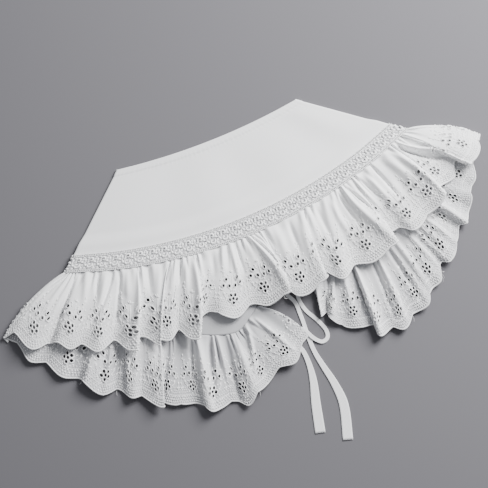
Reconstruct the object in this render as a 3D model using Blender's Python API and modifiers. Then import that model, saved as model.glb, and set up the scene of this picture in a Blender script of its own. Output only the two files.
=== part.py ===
"""A cotton false collar, laid flat with its front uppermost.

The collar is a cape of plain cloth (the yoke) with a gathered, scalloped ruffle on its lower edge and an
embroidered braid over the seam between them. It is folded at both shoulders, so the two back halves lie
underneath, swung down so that their ruffles show below the front one. Two tape ties come out of the back.

Sizes in the tables are millimetres. +X runs across the shoulders, +Y from the ruffle to the neck, +Z up.
The tables measure from the middle of the neck line; ORIGIN_X and ORIGIN_Y move the whole collar so that the
middle of its outline stands over the origin.
"""

import math
from collections import namedtuple

import bpy
from mathutils import Vector

MM = 0.001

# Where the middle of the collar's outline lies, measured from the middle of the neck line
ORIGIN_X = -3.97
ORIGIN_Y = -148.17

# How thick the cloth's walls are, how far apart two pieces lie, and how far the ruffle's middle line starts
# from the yoke's edge, so that its slanted end face clears that edge too
WALL = 1.2
BRAID_WALL = 1.0
TAPE_WALL = 0.9
SEAM_GAP = 0.3
ROOT_GAP = 0.7

# Corners of the yoke, in plan: the shoulder folds run from neck corner to seam corner
NECK_LEFT = (-107.6, 0.0)
NECK_MIDDLE = (0.0, -8.0)
NECK_RIGHT = (107.6, 0.0)
SEAM_LEFT = (-203.0, -89.0)
SEAM_MIDDLE = (0.0, -127.0)
SEAM_RIGHT = (209.0, -82.0)

# The hidden edges of the back halves, from the shoulder fold to the centre back
BACK_NECK_LEFT = [NECK_LEFT, (-88.0, -50.0), (-77.0, -104.0)]
BACK_NECK_RIGHT = [NECK_RIGHT, (93.0, -48.0), (87.0, -98.0)]
BACK_SEAM_LEFT = [SEAM_LEFT, (-173.0, -145.0), (-131.0, -185.0), (-60.0, -221.0), (-24.0, -203.0)]
BACK_SEAM_RIGHT = [SEAM_RIGHT, (178.0, -118.0), (139.0, -157.0), (90.0, -189.0), (38.0, -198.0)]

# Height of the middle of the wall: at the neck, and at the seam where the braid lies under or over it
BACK_NECK_HEIGHT = WALL / 2
BACK_SEAM_HEIGHT = BRAID_WALL + SEAM_GAP + WALL / 2
FRONT_NECK_HEIGHT = BACK_NECK_HEIGHT + WALL + SEAM_GAP
FRONT_SEAM_HEIGHT = 4.2

# Shares of the way down the yoke: where the back and the front rise over the braid, and where it starts
BACK_RISE = (0.70, 0.80)
FRONT_RISE = (0.62, 0.76)
BRAID_TOP = 0.81
BRAID_FOOT = 0.995

# How far across a back half the front's cloth reaches round the shoulder fold, as a share of its width
LAP = 0.03
LAP_GAP = 0.004

# How finely the panels, strips and tapes are divided along their length
FRONT_YOKE_STEPS = 22
BACK_YOKE_STEPS = 24
FRONT_BRAID_STEPS = 40
BACK_BRAID_STEPS = 24
TAPE_STEP = 5.0

# Rows down the yoke, as shares of its depth, closer together where it rises over the braid
YOKE_SHARES = (0.0, 0.2, 0.4, 0.62, 0.66, 0.7, 0.73, 0.76, 0.8, 0.86, 0.93, 1.0)

# Where the braid of a back half starts and ends, clear of the shoulder lap and of the centre back edge
BACK_BRAID_SPAN = (0.02, 0.995)

# Ruffle: the embroidery repeats once a scallop. The lobes are the distances along the hem of the scallops'
# lowest points, from beyond one end of each stretch to beyond the other
FRONT_LOBES = (
    -10, 30, 77, 112, 155, 207, 243, 278, 318, 354, 395, 432,
    468, 502, 535, 579, 622, 666, 700, 740, 777, 808, 836, 866,
)
BACK_LEFT_LOBES = (-8, 33, 74, 127, 158, 190, 222, 253, 278, 317, 348, 390, 428)
BACK_RIGHT_LOBES = (-30, 12, 54, 84, 122, 156, 196, 230, 260, 288, 324, 358, 395)
SCALLOP_DEPTH = 4.8

# How much further than a straight run the folds swell halfway down the ruffle, as shares of their height
# above and below its mean height at the hem
FRONT_MEAN_HEIGHT = 10.5
BACK_MEAN_HEIGHT = 4.5
CREST_SWELL = 0.9
TROUGH_SWELL = 0.25

# The small waves at the seam
FRONT_GATHERS = 48
BACK_GATHERS = 24
GATHER_HEIGHT = 1.2
GATHER_FADE = 0.5
COLUMNS_A_GATHER = 4
LEVELS = (0.0, 0.07, 0.17, 0.32, 0.52, 0.75, 1.0)
WRAP_ANGLES = (60, 20, -20, -60)

# A row for each crest, edge, tuck and trough that reaches the hem: how far along the seam it starts, where
# it meets the hem, how high the wall's middle stands there, and how far its line bows aside halfway down.
# An edge is a crest that overhangs the tuck after it.
Fold = namedtuple("Fold", "kind seam x y z bow")

FRONT_FOLDS = [
    Fold("tip", 0, -290, -132, 4.2, -6),
    Fold("flap", 3, -278, -134, 9, -6),
    Fold("crest", 7, -266, -156, 11, -3),
    Fold("trough", 10, -248, -158, 7, -1),
    Fold("crest", 14, -238, -160, 12, 0),
    Fold("crest", 27, -228, -172, 11, 0),
    Fold("dip", 36, -214, -174, 9.5, 0),
    Fold("crest", 47, -201, -186, 12, 0),
    Fold("trough", 58, -181, -183, 8, 0),
    Fold("crest", 69, -171, -196, 12, 0),
    Fold("edge", 77, -161, -201, 14, 3),
    Fold("tuck", 81, -166, -190, 8.5, 3),
    Fold("trough", 87, -150, -190, 9, 1),
    Fold("edge", 110, -138, -206, 14.5, 0),
    Fold("tuck", 114, -142, -194, 8.5, 0),
    Fold("crest", 120, -126, -204, 11, 0),
    Fold("trough", 127, -114, -199, 9, 0),
    Fold("crest", 134, -105, -211, 13, 2),
    Fold("edge", 140, -96, -215, 15.5, 5),
    Fold("tuck", 144, -94, -199, 8.5, 5),
    Fold("trough", 151, -77, -190, 6, 2),
    Fold("crest", 171, -64, -201, 10, 0),
    Fold("crest", 184, -49, -208, 7.5, 0),
    Fold("trough", 195, -28, -202, 5.5, 0),
    Fold("crest", 202, -12, -209, 9, 4),
    Fold("edge", 209, 14, -206, 17, 6),
    Fold("tuck", 214, 9, -196, 9, 5),
    Fold("crest", 223, 19, -212, 11, 2),
    Fold("crest", 246, 36, -214, 13, 0),
    Fold("edge", 270, 57, -206, 17, -2),
    Fold("tuck", 275, 53, -195, 9, -2),
    Fold("trough", 283, 64, -206, 10, 0),
    Fold("crest", 299, 74, -214, 13, 0),
    Fold("trough", 311, 92, -206, 9.5, 0),
    Fold("crest", 320, 113, -209, 13, 0),
    Fold("edge", 329, 143, -200, 18, 2),
    Fold("tuck", 336, 138, -188, 9.5, 2),
    Fold("trough", 344, 155, -187, 10, 0),
    Fold("crest", 355, 167, -194, 14, 0),
    Fold("crest", 371, 191, -184, 13, 0),
    Fold("edge", 394, 213, -173, 19, 2),
    Fold("tuck", 400, 214, -159, 9, 2),
    Fold("trough", 408, 235, -154, 8.5, 0),
    Fold("tuck", 412, 243, -138, 10, 0),
    Fold("edge", 415, 255, -151, 16, 2),
    Fold("crest", 421, 272, -137, 13, 4),
    Fold("tip", 426, 282, -120, 4.2, 6),
]

BACK_LEFT_FOLDS = [
    Fold("tip", 2, -288, -132, 0.9, -4),
    Fold("crest", 14, -278, -149, 3.5, 0),
    Fold("crest", 23, -273, -166, 4.5, 0),
    Fold("dip", 33, -259, -176, 3, 0),
    Fold("crest", 44, -247, -195, 5, 0),
    Fold("trough", 53, -233, -204, 1.5, 0),
    Fold("crest", 63, -228, -213, 7, 0),
    Fold("crest", 74, -215, -229, 5.5, 0),
    Fold("trough", 85, -195, -233, 1.5, 0),
    Fold("crest", 96, -186, -246, 7.5, 0),
    Fold("dip", 106, -176, -250, 4.5, 0),
    Fold("edge", 121, -159, -269, 8, 0),
    Fold("tuck", 127, -161, -259, 2.5, 0),
    Fold("crest", 138, -143, -273, 4.5, 0),
    Fold("trough", 150, -125, -276, 2, 0),
    Fold("crest", 164, -114, -291, 8, 0),
    Fold("dip", 174, -103, -292, 5, 0),
    Fold("trough", 182, -84, -292, 1.8, 0),
    Fold("crest", 193, -74, -300, 5, 0),
    Fold("crest", 202, -60, -293, 7.5, 0),
    Fold("dip", 207, -43, -284, 4, 0),
    Fold("crest", 213, -28, -277, 5.5, 0),
    Fold("crest", 221, -11, -277, 7, 0),
    Fold("dip", 232, 2, -265, 5.5, 0),
    Fold("end", 246, 14, -255, 5, 6),
]

BACK_RIGHT_FOLDS = [
    Fold("tip", 2, 280, -120, 0.9, 4),
    Fold("crest", 16, 265, -144, 3.5, 0),
    Fold("crest", 25, 256, -163, 5, 0),
    Fold("dip", 32, 248, -171, 3, 0),
    Fold("crest", 42, 244, -182, 5, 0),
    Fold("trough", 50, 233, -195, 2, 0),
    Fold("edge", 57, 226, -209, 7, 0),
    Fold("tuck", 64, 216, -206, 2.5, 0),
    Fold("crest", 71, 206, -225, 5, 0),
    Fold("edge", 82, 189, -240, 7, 0),
    Fold("tuck", 88, 181, -238, 2.5, 0),
    Fold("crest", 98, 171, -255, 5, 0),
    Fold("trough", 105, 159, -260, 2.5, 0),
    Fold("crest", 116, 148, -274, 6, 0),
    Fold("trough", 125, 131, -278, 3, 0),
    Fold("crest", 136, 112, -289, 6, 0),
    Fold("dip", 146, 99, -284, 4, 0),
    Fold("edge", 158, 84, -286, 8, 0),
    Fold("tuck", 164, 83, -274, 2.5, 0),
    Fold("crest", 173, 70, -269, 4.5, 0),
    Fold("trough", 182, 53, -262, 2.5, 0),
    Fold("edge", 191, 43, -248, 6.5, 0),
    Fold("tuck", 198, 42, -238, 3, 0),
    Fold("crest", 207, 34, -243, 5.5, 0),
    Fold("end", 217, 47, -236, 2.2, 0),
]

# Ties: the line along the middle of each tape, and how wide it is there. A tape is doubled lengthwise where
# it is narrow and opens out flat towards its free end.
TapePoint = namedtuple("TapePoint", "x y z width")

TIE_LEFT = [
    TapePoint(-73.6, -107.3, 0.6, 5),
    TapePoint(-64, -107, 0.6, 5),
    TapePoint(-50, -120, 0.6, 5),
    TapePoint(-18, -162, 0.6, 5),
    TapePoint(14, -211, 0.6, 4.4),
    TapePoint(15, -231, 0.6, 4.4),
    TapePoint(14, -245, 0.6, 4.4),
    TapePoint(13, -258, 0.6, 4.6),
    TapePoint(13, -273, 0.6, 5),
    TapePoint(15, -288, 0.6, 6),
    TapePoint(19, -313, 0.6, 8),
    TapePoint(19, -337, 0.6, 10),
    TapePoint(8, -373, 0.6, 11),
]

TIE_RIGHT = [
    TapePoint(83.2, -101.4, 0.6, 5),
    TapePoint(75, -98, 0.6, 5),
    TapePoint(65, -107, 0.6, 5),
    TapePoint(43, -163, 0.6, 5),
    TapePoint(21, -209, 0.6, 4.4),
    TapePoint(22, -226, 0.6, 4.4),
    TapePoint(30, -243, 0.6, 4.4),
    TapePoint(34, -256, 0.6, 4.4),
    TapePoint(32, -264, 0.7, 4.4),
    TapePoint(25, -266, 0.9, 4.4),
    TapePoint(18, -259, 1.7, 4.4),
    TapePoint(13, -249, 2.1, 4.4),
    TapePoint(6, -242, 1.7, 4.4),
    TapePoint(-1, -245, 0.9, 4.4),
    TapePoint(-2, -255, 0.7, 4.6),
    TapePoint(2, -268, 0.6, 5),
    TapePoint(2, -285, 0.6, 6),
    TapePoint(-1, -302, 0.6, 8),
    TapePoint(-8, -325, 0.6, 10),
    TapePoint(-16, -355, 0.6, 11),
]


def clear_scene():
    for item in list(bpy.data.objects):
        bpy.data.objects.remove(item, do_unlink=True)


def smoothstep(start, stop, value):
    share = min(1.0, max(0.0, (value - start) / (stop - start)))
    return share * share * (3.0 - 2.0 * share)


class Curve:
    """A smooth line through points of any number of columns, read by the distance along it.

    The first `measured` columns give the distance.
    """

    def __init__(self, points, measured):
        self.points = [tuple(float(value) for value in point) for point in points]
        self.knots = [0.0]
        for before, after in zip(self.points, self.points[1:]):
            self.knots.append(self.knots[-1] + math.dist(before[:measured], after[:measured]))
        self.length = self.knots[-1]
        self.slopes = [self._slope(index) for index in range(len(self.points))]

    def _slope(self, index):
        first = max(0, index - 1)
        last = min(len(self.points) - 1, index + 1)
        span = self.knots[last] - self.knots[first]
        return [(b - a) / span for a, b in zip(self.points[first], self.points[last])]

    def at(self, share):
        distance = min(1.0, max(0.0, share)) * self.length
        index = 0
        while index < len(self.knots) - 2 and self.knots[index + 1] < distance:
            index += 1
        span = self.knots[index + 1] - self.knots[index]
        t = (distance - self.knots[index]) / span
        keep_start = (1 + 2 * t) * (1 - t) ** 2
        lean_start = t * (1 - t) ** 2 * span
        keep_end = t * t * (3 - 2 * t)
        lean_end = t * t * (t - 1) * span
        return tuple(
            keep_start * a + lean_start * slope_a + keep_end * b + lean_end * slope_b
            for a, slope_a, b, slope_b in zip(
                self.points[index], self.slopes[index], self.points[index + 1], self.slopes[index + 1]
            )
        )


def arc_points(start, middle, end, count=9):
    """Points along the circle through three points in plan."""
    (ax, ay), (bx, by), (cx, cy) = start, middle, end
    turn = 2 * (ax * (by - cy) + bx * (cy - ay) + cx * (ay - by))
    square_a, square_b, square_c = ax * ax + ay * ay, bx * bx + by * by, cx * cx + cy * cy
    x = (square_a * (by - cy) + square_b * (cy - ay) + square_c * (ay - by)) / turn
    y = (square_a * (cx - bx) + square_b * (ax - cx) + square_c * (bx - ax)) / turn
    radius = math.hypot(ax - x, ay - y)
    first = math.atan2(ay - y, ax - x)
    last = math.atan2(cy - y, cx - x)
    angles = [first + (last - first) * step / (count - 1) for step in range(count)]
    return [(x + radius * math.cos(angle), y + radius * math.sin(angle)) for angle in angles]


def back_height(share):
    rise = smoothstep(*BACK_RISE, share)
    return BACK_NECK_HEIGHT + (BACK_SEAM_HEIGHT - BACK_NECK_HEIGHT) * rise


def front_height(share):
    rise = smoothstep(*FRONT_RISE, share)
    return FRONT_NECK_HEIGHT + (FRONT_SEAM_HEIGHT - FRONT_NECK_HEIGHT) * rise


def yoke_column(neck, seam, across, height, shares=YOKE_SHARES):
    """Points straight down the yoke from the neck edge to the seam."""
    top = Vector((*neck.at(across), 0.0))
    foot = Vector((*seam.at(across), 0.0))
    column = []
    for share in shares:
        point = top.lerp(foot, share)
        point.z = height(share)
        column.append(point)
    return column


def moved(column, offset):
    return [point + offset for point in column]


def wrapped(upper, lower, outward):
    """Columns round a folded edge, from the upper layer to the lower one."""
    columns = []
    for angle in WRAP_ANGLES:
        turn = math.radians(angle)
        column = []
        for above, below in zip(upper, lower):
            middle = (above + below) / 2
            radius = (above.z - below.z) / 2
            rise = Vector((0.0, 0.0, radius * math.sin(turn)))
            column.append(middle + outward * radius * math.cos(turn) + rise)
        columns.append(column)
    return columns


def lowered(column, heights):
    return [Vector((point.x, point.y, height)) for point, height in zip(column, heights)]


def fold_outward(neck_corner, seam_corner):
    """The direction in plan that points out of the collar across a shoulder fold."""
    along = Vector((seam_corner[0] - neck_corner[0], seam_corner[1] - neck_corner[1], 0.0)).normalized()
    outward = Vector((-along.y, along.x, 0.0))
    return outward if outward.x * neck_corner[0] > 0 else -outward


def front_yoke_columns():
    """The front panel, carried round both shoulder folds to a short lap under the back edge."""
    neck = Curve(arc_points(NECK_LEFT, NECK_MIDDLE, NECK_RIGHT), 2)
    seam = Curve(arc_points(SEAM_LEFT, SEAM_MIDDLE, SEAM_RIGHT), 2)
    places = [step / FRONT_YOKE_STEPS for step in range(FRONT_YOKE_STEPS + 1)]
    columns = [yoke_column(neck, seam, across, front_height) for across in places]
    sides = []
    for column, back_neck, back_seam in (
        (columns[0], BACK_NECK_LEFT, BACK_SEAM_LEFT),
        (columns[-1], BACK_NECK_RIGHT, BACK_SEAM_RIGHT),
    ):
        low = lowered(column, [back_height(share) for share in YOKE_SHARES])
        lap = yoke_column(Curve(back_neck, 2), Curve(back_seam, 2), LAP, back_height)
        sides.append(wrapped(column, low, fold_outward(back_neck[0], back_seam[0])) + [low, lap])
    return list(reversed(sides[0])) + columns + sides[1]


def back_yoke_columns(neck_points, seam_points):
    """A back panel, from its seam beside the shoulder fold to the centre back."""
    neck = Curve(neck_points, 2)
    seam = Curve(seam_points, 2)
    first = LAP + LAP_GAP
    places = [first + (1 - first) * step / BACK_YOKE_STEPS for step in range(BACK_YOKE_STEPS + 1)]
    return [yoke_column(neck, seam, across, back_height) for across in places]


def braid_columns(neck, seam, height, lift, span, steps):
    """A strip made from the yoke's lowest points, moved off its face by lift."""
    first, last = span
    shares = (BRAID_TOP, (BRAID_TOP + BRAID_FOOT) / 2, BRAID_FOOT)
    columns = []
    for step in range(steps + 1):
        across = first + (last - first) * step / steps
        column = yoke_column(neck, seam, across, height, shares)
        columns.append(moved(column, Vector((0, 0, lift))))
    return columns


def scallop(distance, lobes):
    """How far the hem is drawn back from its lobes' lowest points, from 0 at a lobe to 1 in a notch."""
    index = 0
    while index < len(lobes) - 2 and lobes[index + 1] < distance:
        index += 1
    phase = (distance - lobes[index]) / (lobes[index + 1] - lobes[index])
    return 1.0 - abs(math.cos(math.pi * phase)) ** 0.7


def swell(height, mean_height, share):
    """How much further a fold stands off than a straight run down to the hem would."""
    swing = height - mean_height
    boost = CREST_SWELL if swing > 0 else TROUGH_SWELL
    return swing * boost * share * (1 - share)


def gather(along, level, gathers):
    """The small waves that the gathering thread pulls into the cloth.

    The stitching holds them to half their height at the seam, and they die out down the ruffle.
    """
    free = min(1.0, 0.5 + 2.0 * level / GATHER_FADE)
    fade = max(0.0, 1.0 - level / GATHER_FADE)
    return GATHER_HEIGHT * free * fade * math.sin(2 * math.pi * gathers * along)


def ruffle_columns(folds, seam, root_height, mean_height, lobes, gathers):
    """The gathered strip: a column of points for each step along it, from the seam to the hem."""
    hem = Curve([(fold.x, fold.y, fold.z, fold.seam, fold.bow) for fold in folds], 3)
    steps = gathers * COLUMNS_A_GATHER
    columns = []
    for step in range(steps + 1):
        along = step / steps
        x, y, z, seam_distance, bow = hem.at(along)
        root = Vector((*seam.at(seam_distance / seam.length), root_height))
        foot = Vector((x, y, z))
        reach = (foot - root).length
        aside = Vector((root.y - foot.y, foot.x - root.x, 0.0)).normalized()
        length = 1.0 - SCALLOP_DEPTH / reach * scallop(along * hem.length, lobes)
        start = ROOT_GAP / reach
        column = []
        for level in LEVELS:
            share = level * length
            point = root.lerp(foot, start + (1 - start) * share)
            point += aside * bow * 4 * share * (1 - share)
            point.z += swell(z, mean_height, share) + gather(along, level, gathers)
            column.append(point)
        columns.append(column)
    return columns


def front_ruffle_columns():
    """The front ruffle, with its cloth carried round at both shoulder tips."""
    seam = Curve(arc_points(SEAM_LEFT, SEAM_MIDDLE, SEAM_RIGHT), 2)
    columns = ruffle_columns(
        FRONT_FOLDS, seam, FRONT_SEAM_HEIGHT, FRONT_MEAN_HEIGHT, FRONT_LOBES, FRONT_GATHERS
    )
    ends = []
    for column, fold in ((columns[0], BACK_LEFT_FOLDS[0]), (columns[-1], BACK_RIGHT_FOLDS[0])):
        low = [BACK_SEAM_HEIGHT + (fold.z - BACK_SEAM_HEIGHT) * level for level in LEVELS]
        under = lowered(column, low)
        along = (column[-1] - column[0]).normalized()
        outward = Vector((-along.y, along.x, 0.0)) if along.x > 0 else Vector((along.y, -along.x, 0.0))
        ends.append(wrapped(column, under, outward.normalized()) + [under])
    return list(reversed(ends[0])) + columns + ends[1]


def tape_columns(points):
    """A flat tape along a line: three points across it at each step."""
    line = Curve(points, 2)
    steps = round(line.length / TAPE_STEP)
    columns = []
    for step in range(steps + 1):
        share = step / steps
        x, y, z, width = line.at(share)
        before = line.at(share - 0.5 / steps)
        after = line.at(share + 0.5 / steps)
        aside = Vector((before[1] - after[1], after[0] - before[0], 0.0)).normalized() * width / 2
        middle = Vector((x, y, z))
        columns.append([middle - aside, middle, middle + aside])
    return columns


def make_material(name, colour, roughness):
    material = bpy.data.materials.new(name)
    material.use_nodes = True
    shader = material.node_tree.nodes["Principled BSDF"]
    shader.inputs["Base Color"].default_value = (*colour, 1.0)
    shader.inputs["Roughness"].default_value = roughness
    shader.inputs["Metallic"].default_value = 0.0
    return material


def make_cloth(name, columns, wall, material, collection):
    """An object with a wall on a grid of points, which run down each column."""
    rows = len(columns[0])
    origin = Vector((ORIGIN_X, ORIGIN_Y, 0.0))
    points = [(point - origin) * MM for column in columns for point in column]
    faces = []
    for column in range(len(columns) - 1):
        for row in range(rows - 1):
            corner = column * rows + row
            faces.append((corner, corner + 1, corner + rows + 1, corner + rows))
    mesh = bpy.data.meshes.new(name)
    mesh.from_pydata(points, [], faces)
    mesh.materials.append(material)
    mesh.shade_smooth()
    cloth = bpy.data.objects.new(name, mesh)
    collection.objects.link(cloth)
    shell = cloth.modifiers.new("Wall", "SOLIDIFY")
    shell.thickness = wall * MM
    shell.offset = 0.0
    return cloth


def build_yoke(material, collection):
    make_cloth("yoke_front", front_yoke_columns(), WALL, material, collection)
    left = back_yoke_columns(BACK_NECK_LEFT, BACK_SEAM_LEFT)
    right = back_yoke_columns(BACK_NECK_RIGHT, BACK_SEAM_RIGHT)
    make_cloth("yoke_back_left", left, WALL, material, collection)
    make_cloth("yoke_back_right", right, WALL, material, collection)


def build_braid(material, collection):
    """The braid lies on the outer face of the cloth: on top of the front, under the back halves."""
    lift = WALL / 2 + SEAM_GAP + BRAID_WALL / 2
    neck = Curve(arc_points(NECK_LEFT, NECK_MIDDLE, NECK_RIGHT), 2)
    seam = Curve(arc_points(SEAM_LEFT, SEAM_MIDDLE, SEAM_RIGHT), 2)
    front = braid_columns(neck, seam, front_height, lift, (0.0, 1.0), FRONT_BRAID_STEPS)
    make_cloth("braid_front", front, BRAID_WALL, material, collection)
    for name, neck_points, seam_points in (
        ("braid_back_left", BACK_NECK_LEFT, BACK_SEAM_LEFT),
        ("braid_back_right", BACK_NECK_RIGHT, BACK_SEAM_RIGHT),
    ):
        neck = Curve(neck_points, 2)
        seam = Curve(seam_points, 2)
        columns = braid_columns(neck, seam, back_height, -lift, BACK_BRAID_SPAN, BACK_BRAID_STEPS)
        make_cloth(name, columns, BRAID_WALL, material, collection)


def build_ruffles(material, collection):
    make_cloth("ruffle_front", front_ruffle_columns(), WALL, material, collection)
    for name, folds, lobes, seam_points in (
        ("ruffle_back_left", BACK_LEFT_FOLDS, BACK_LEFT_LOBES, BACK_SEAM_LEFT),
        ("ruffle_back_right", BACK_RIGHT_FOLDS, BACK_RIGHT_LOBES, BACK_SEAM_RIGHT),
    ):
        seam = Curve(seam_points, 2)
        columns = ruffle_columns(folds, seam, BACK_SEAM_HEIGHT, BACK_MEAN_HEIGHT, lobes, BACK_GATHERS)
        make_cloth(name, columns, WALL, material, collection)


def build_ties(material, collection):
    make_cloth("tie_left", tape_columns(TIE_LEFT), TAPE_WALL, material, collection)
    make_cloth("tie_right", tape_columns(TIE_RIGHT), TAPE_WALL, material, collection)


def main():
    clear_scene()
    collection = bpy.data.collections.new("false_collar")
    bpy.context.scene.collection.children.link(collection)
    cotton = make_material("white_cotton", (0.86, 0.86, 0.87), 0.85)
    lace = make_material("embroidered_lace", (0.90, 0.90, 0.91), 0.75)
    tape = make_material("cotton_tape", (0.84, 0.84, 0.85), 0.8)
    build_yoke(cotton, collection)
    build_braid(lace, collection)
    build_ruffles(cotton, collection)
    build_ties(tape, collection)


main()
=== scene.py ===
"""The looks of a white cotton false collar, laid flat with its front uppermost.

The yoke is plain cotton with a stitched neck hem. An embroidered braid covers the seam below it, and a
gathered broderie anglaise ruffle hangs from that seam. The collar is folded at both shoulders, so the two
back halves lie underneath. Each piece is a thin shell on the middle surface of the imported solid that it
replaces, and the embroidery is laid out flat, one repeat at a time, and carried onto the ruffle's surface.

Tables and sizes are in millimetres, measured from the middle of the neck line: +X runs across the
shoulders, +Y from the ruffle to the neck, +Z up.
"""

from __future__ import annotations

import logging
import math
from dataclasses import dataclass, field
from enum import Enum
from typing import NamedTuple

import bmesh
import bpy
import numpy as np
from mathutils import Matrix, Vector
from mathutils.geometry import delaunay_2d_cdt


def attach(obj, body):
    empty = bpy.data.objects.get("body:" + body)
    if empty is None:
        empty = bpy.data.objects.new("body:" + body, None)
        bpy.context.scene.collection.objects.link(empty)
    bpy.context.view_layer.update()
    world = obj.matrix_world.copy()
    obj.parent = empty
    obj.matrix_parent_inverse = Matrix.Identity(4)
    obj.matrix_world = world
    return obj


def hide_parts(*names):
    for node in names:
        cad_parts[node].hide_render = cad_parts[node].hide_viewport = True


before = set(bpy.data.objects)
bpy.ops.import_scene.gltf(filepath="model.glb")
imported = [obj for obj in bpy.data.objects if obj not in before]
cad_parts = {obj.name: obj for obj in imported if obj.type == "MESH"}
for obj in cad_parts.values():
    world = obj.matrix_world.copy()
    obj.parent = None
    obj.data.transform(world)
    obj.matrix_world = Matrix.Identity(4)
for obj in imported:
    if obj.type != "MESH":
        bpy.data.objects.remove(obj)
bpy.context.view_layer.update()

LOG = logging.getLogger("false_collar")
MM = 0.001
ORIGIN = np.array((-3.97, -148.17, 0.0))
TINY = 1e-9

# Corners of the yoke and the hidden edges of its back halves, from the shoulder fold to the centre back
NECK_LEFT = (-107.6, 0.0)
NECK_MIDDLE = (0.0, -8.0)
NECK_RIGHT = (107.6, 0.0)
SEAM_LEFT = (-203.0, -89.0)
SEAM_MIDDLE = (0.0, -127.0)
SEAM_RIGHT = (209.0, -82.0)
BACK_NECK_LEFT = [NECK_LEFT, (-88.0, -50.0), (-77.0, -104.0)]
BACK_NECK_RIGHT = [NECK_RIGHT, (93.0, -48.0), (87.0, -98.0)]
BACK_SEAM_LEFT = [SEAM_LEFT, (-173.0, -145.0), (-131.0, -185.0), (-60.0, -221.0), (-24.0, -203.0)]
BACK_SEAM_RIGHT = [SEAM_RIGHT, (178.0, -118.0), (139.0, -157.0), (90.0, -189.0), (38.0, -198.0)]

# Height of the middle of the cloth at the neck, the seam and the hem, and where down the yoke it rises
BACK_NECK_HEIGHT = 0.6
BACK_SEAM_HEIGHT = 1.9
BACK_HEM_HEIGHT = 0.9
FRONT_NECK_HEIGHT = 2.1
FRONT_SEAM_HEIGHT = 4.2
BACK_RISE = (0.70, 0.80)
FRONT_RISE = (0.62, 0.76)
YOKE_DEPTH = 115.0


class Fold(NamedTuple):
    """A crest, edge, tuck or trough that reaches the ruffle's hem.

    It starts at `seam` along the seam, meets the hem at x, y and z, and bows aside halfway down.
    """

    seam: float
    x: float
    y: float
    z: float
    bow: float


FRONT_FOLDS = [
    Fold(0, -290, -132, 4.2, -6),
    Fold(3, -278, -134, 9, -6),
    Fold(7, -266, -156, 11, -3),
    Fold(10, -248, -158, 7, -1),
    Fold(14, -238, -160, 12, 0),
    Fold(27, -228, -172, 11, 0),
    Fold(36, -214, -174, 9.5, 0),
    Fold(47, -201, -186, 12, 0),
    Fold(58, -181, -183, 8, 0),
    Fold(69, -171, -196, 12, 0),
    Fold(77, -161, -201, 14, 3),
    Fold(81, -166, -190, 8.5, 3),
    Fold(87, -150, -190, 9, 1),
    Fold(110, -138, -206, 14.5, 0),
    Fold(114, -142, -194, 8.5, 0),
    Fold(120, -126, -204, 11, 0),
    Fold(127, -114, -199, 9, 0),
    Fold(134, -105, -211, 13, 2),
    Fold(140, -96, -215, 15.5, 5),
    Fold(144, -94, -199, 8.5, 5),
    Fold(151, -77, -190, 6, 2),
    Fold(171, -64, -201, 10, 0),
    Fold(184, -49, -208, 7.5, 0),
    Fold(195, -28, -202, 5.5, 0),
    Fold(202, -12, -209, 9, 4),
    Fold(209, 14, -206, 17, 6),
    Fold(214, 9, -196, 9, 5),
    Fold(223, 19, -212, 11, 2),
    Fold(246, 36, -214, 13, 0),
    Fold(270, 57, -206, 17, -2),
    Fold(275, 53, -195, 9, -2),
    Fold(283, 64, -206, 10, 0),
    Fold(299, 74, -214, 13, 0),
    Fold(311, 92, -206, 9.5, 0),
    Fold(320, 113, -209, 13, 0),
    Fold(329, 143, -200, 18, 2),
    Fold(336, 138, -188, 9.5, 2),
    Fold(344, 155, -187, 10, 0),
    Fold(355, 167, -194, 14, 0),
    Fold(371, 191, -184, 13, 0),
    Fold(394, 213, -173, 19, 2),
    Fold(400, 214, -159, 9, 2),
    Fold(408, 235, -154, 8.5, 0),
    Fold(412, 243, -138, 10, 0),
    Fold(415, 255, -151, 16, 2),
    Fold(421, 272, -137, 13, 4),
    Fold(426, 282, -120, 4.2, 6),
]

BACK_LEFT_FOLDS = [
    Fold(2, -288, -132, 0.9, -4),
    Fold(14, -278, -149, 3.5, 0),
    Fold(23, -273, -166, 4.5, 0),
    Fold(33, -259, -176, 3, 0),
    Fold(44, -247, -195, 5, 0),
    Fold(53, -233, -204, 1.5, 0),
    Fold(63, -228, -213, 7, 0),
    Fold(74, -215, -229, 5.5, 0),
    Fold(85, -195, -233, 1.5, 0),
    Fold(96, -186, -246, 7.5, 0),
    Fold(106, -176, -250, 4.5, 0),
    Fold(121, -159, -269, 8, 0),
    Fold(127, -161, -259, 2.5, 0),
    Fold(138, -143, -273, 4.5, 0),
    Fold(150, -125, -276, 2, 0),
    Fold(164, -114, -291, 8, 0),
    Fold(174, -103, -292, 5, 0),
    Fold(182, -84, -292, 1.8, 0),
    Fold(193, -74, -300, 5, 0),
    Fold(202, -60, -293, 7.5, 0),
    Fold(207, -43, -284, 4, 0),
    Fold(213, -28, -277, 5.5, 0),
    Fold(221, -11, -277, 7, 0),
    Fold(232, 2, -265, 5.5, 0),
    Fold(246, 14, -255, 5, 6),
]

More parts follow.
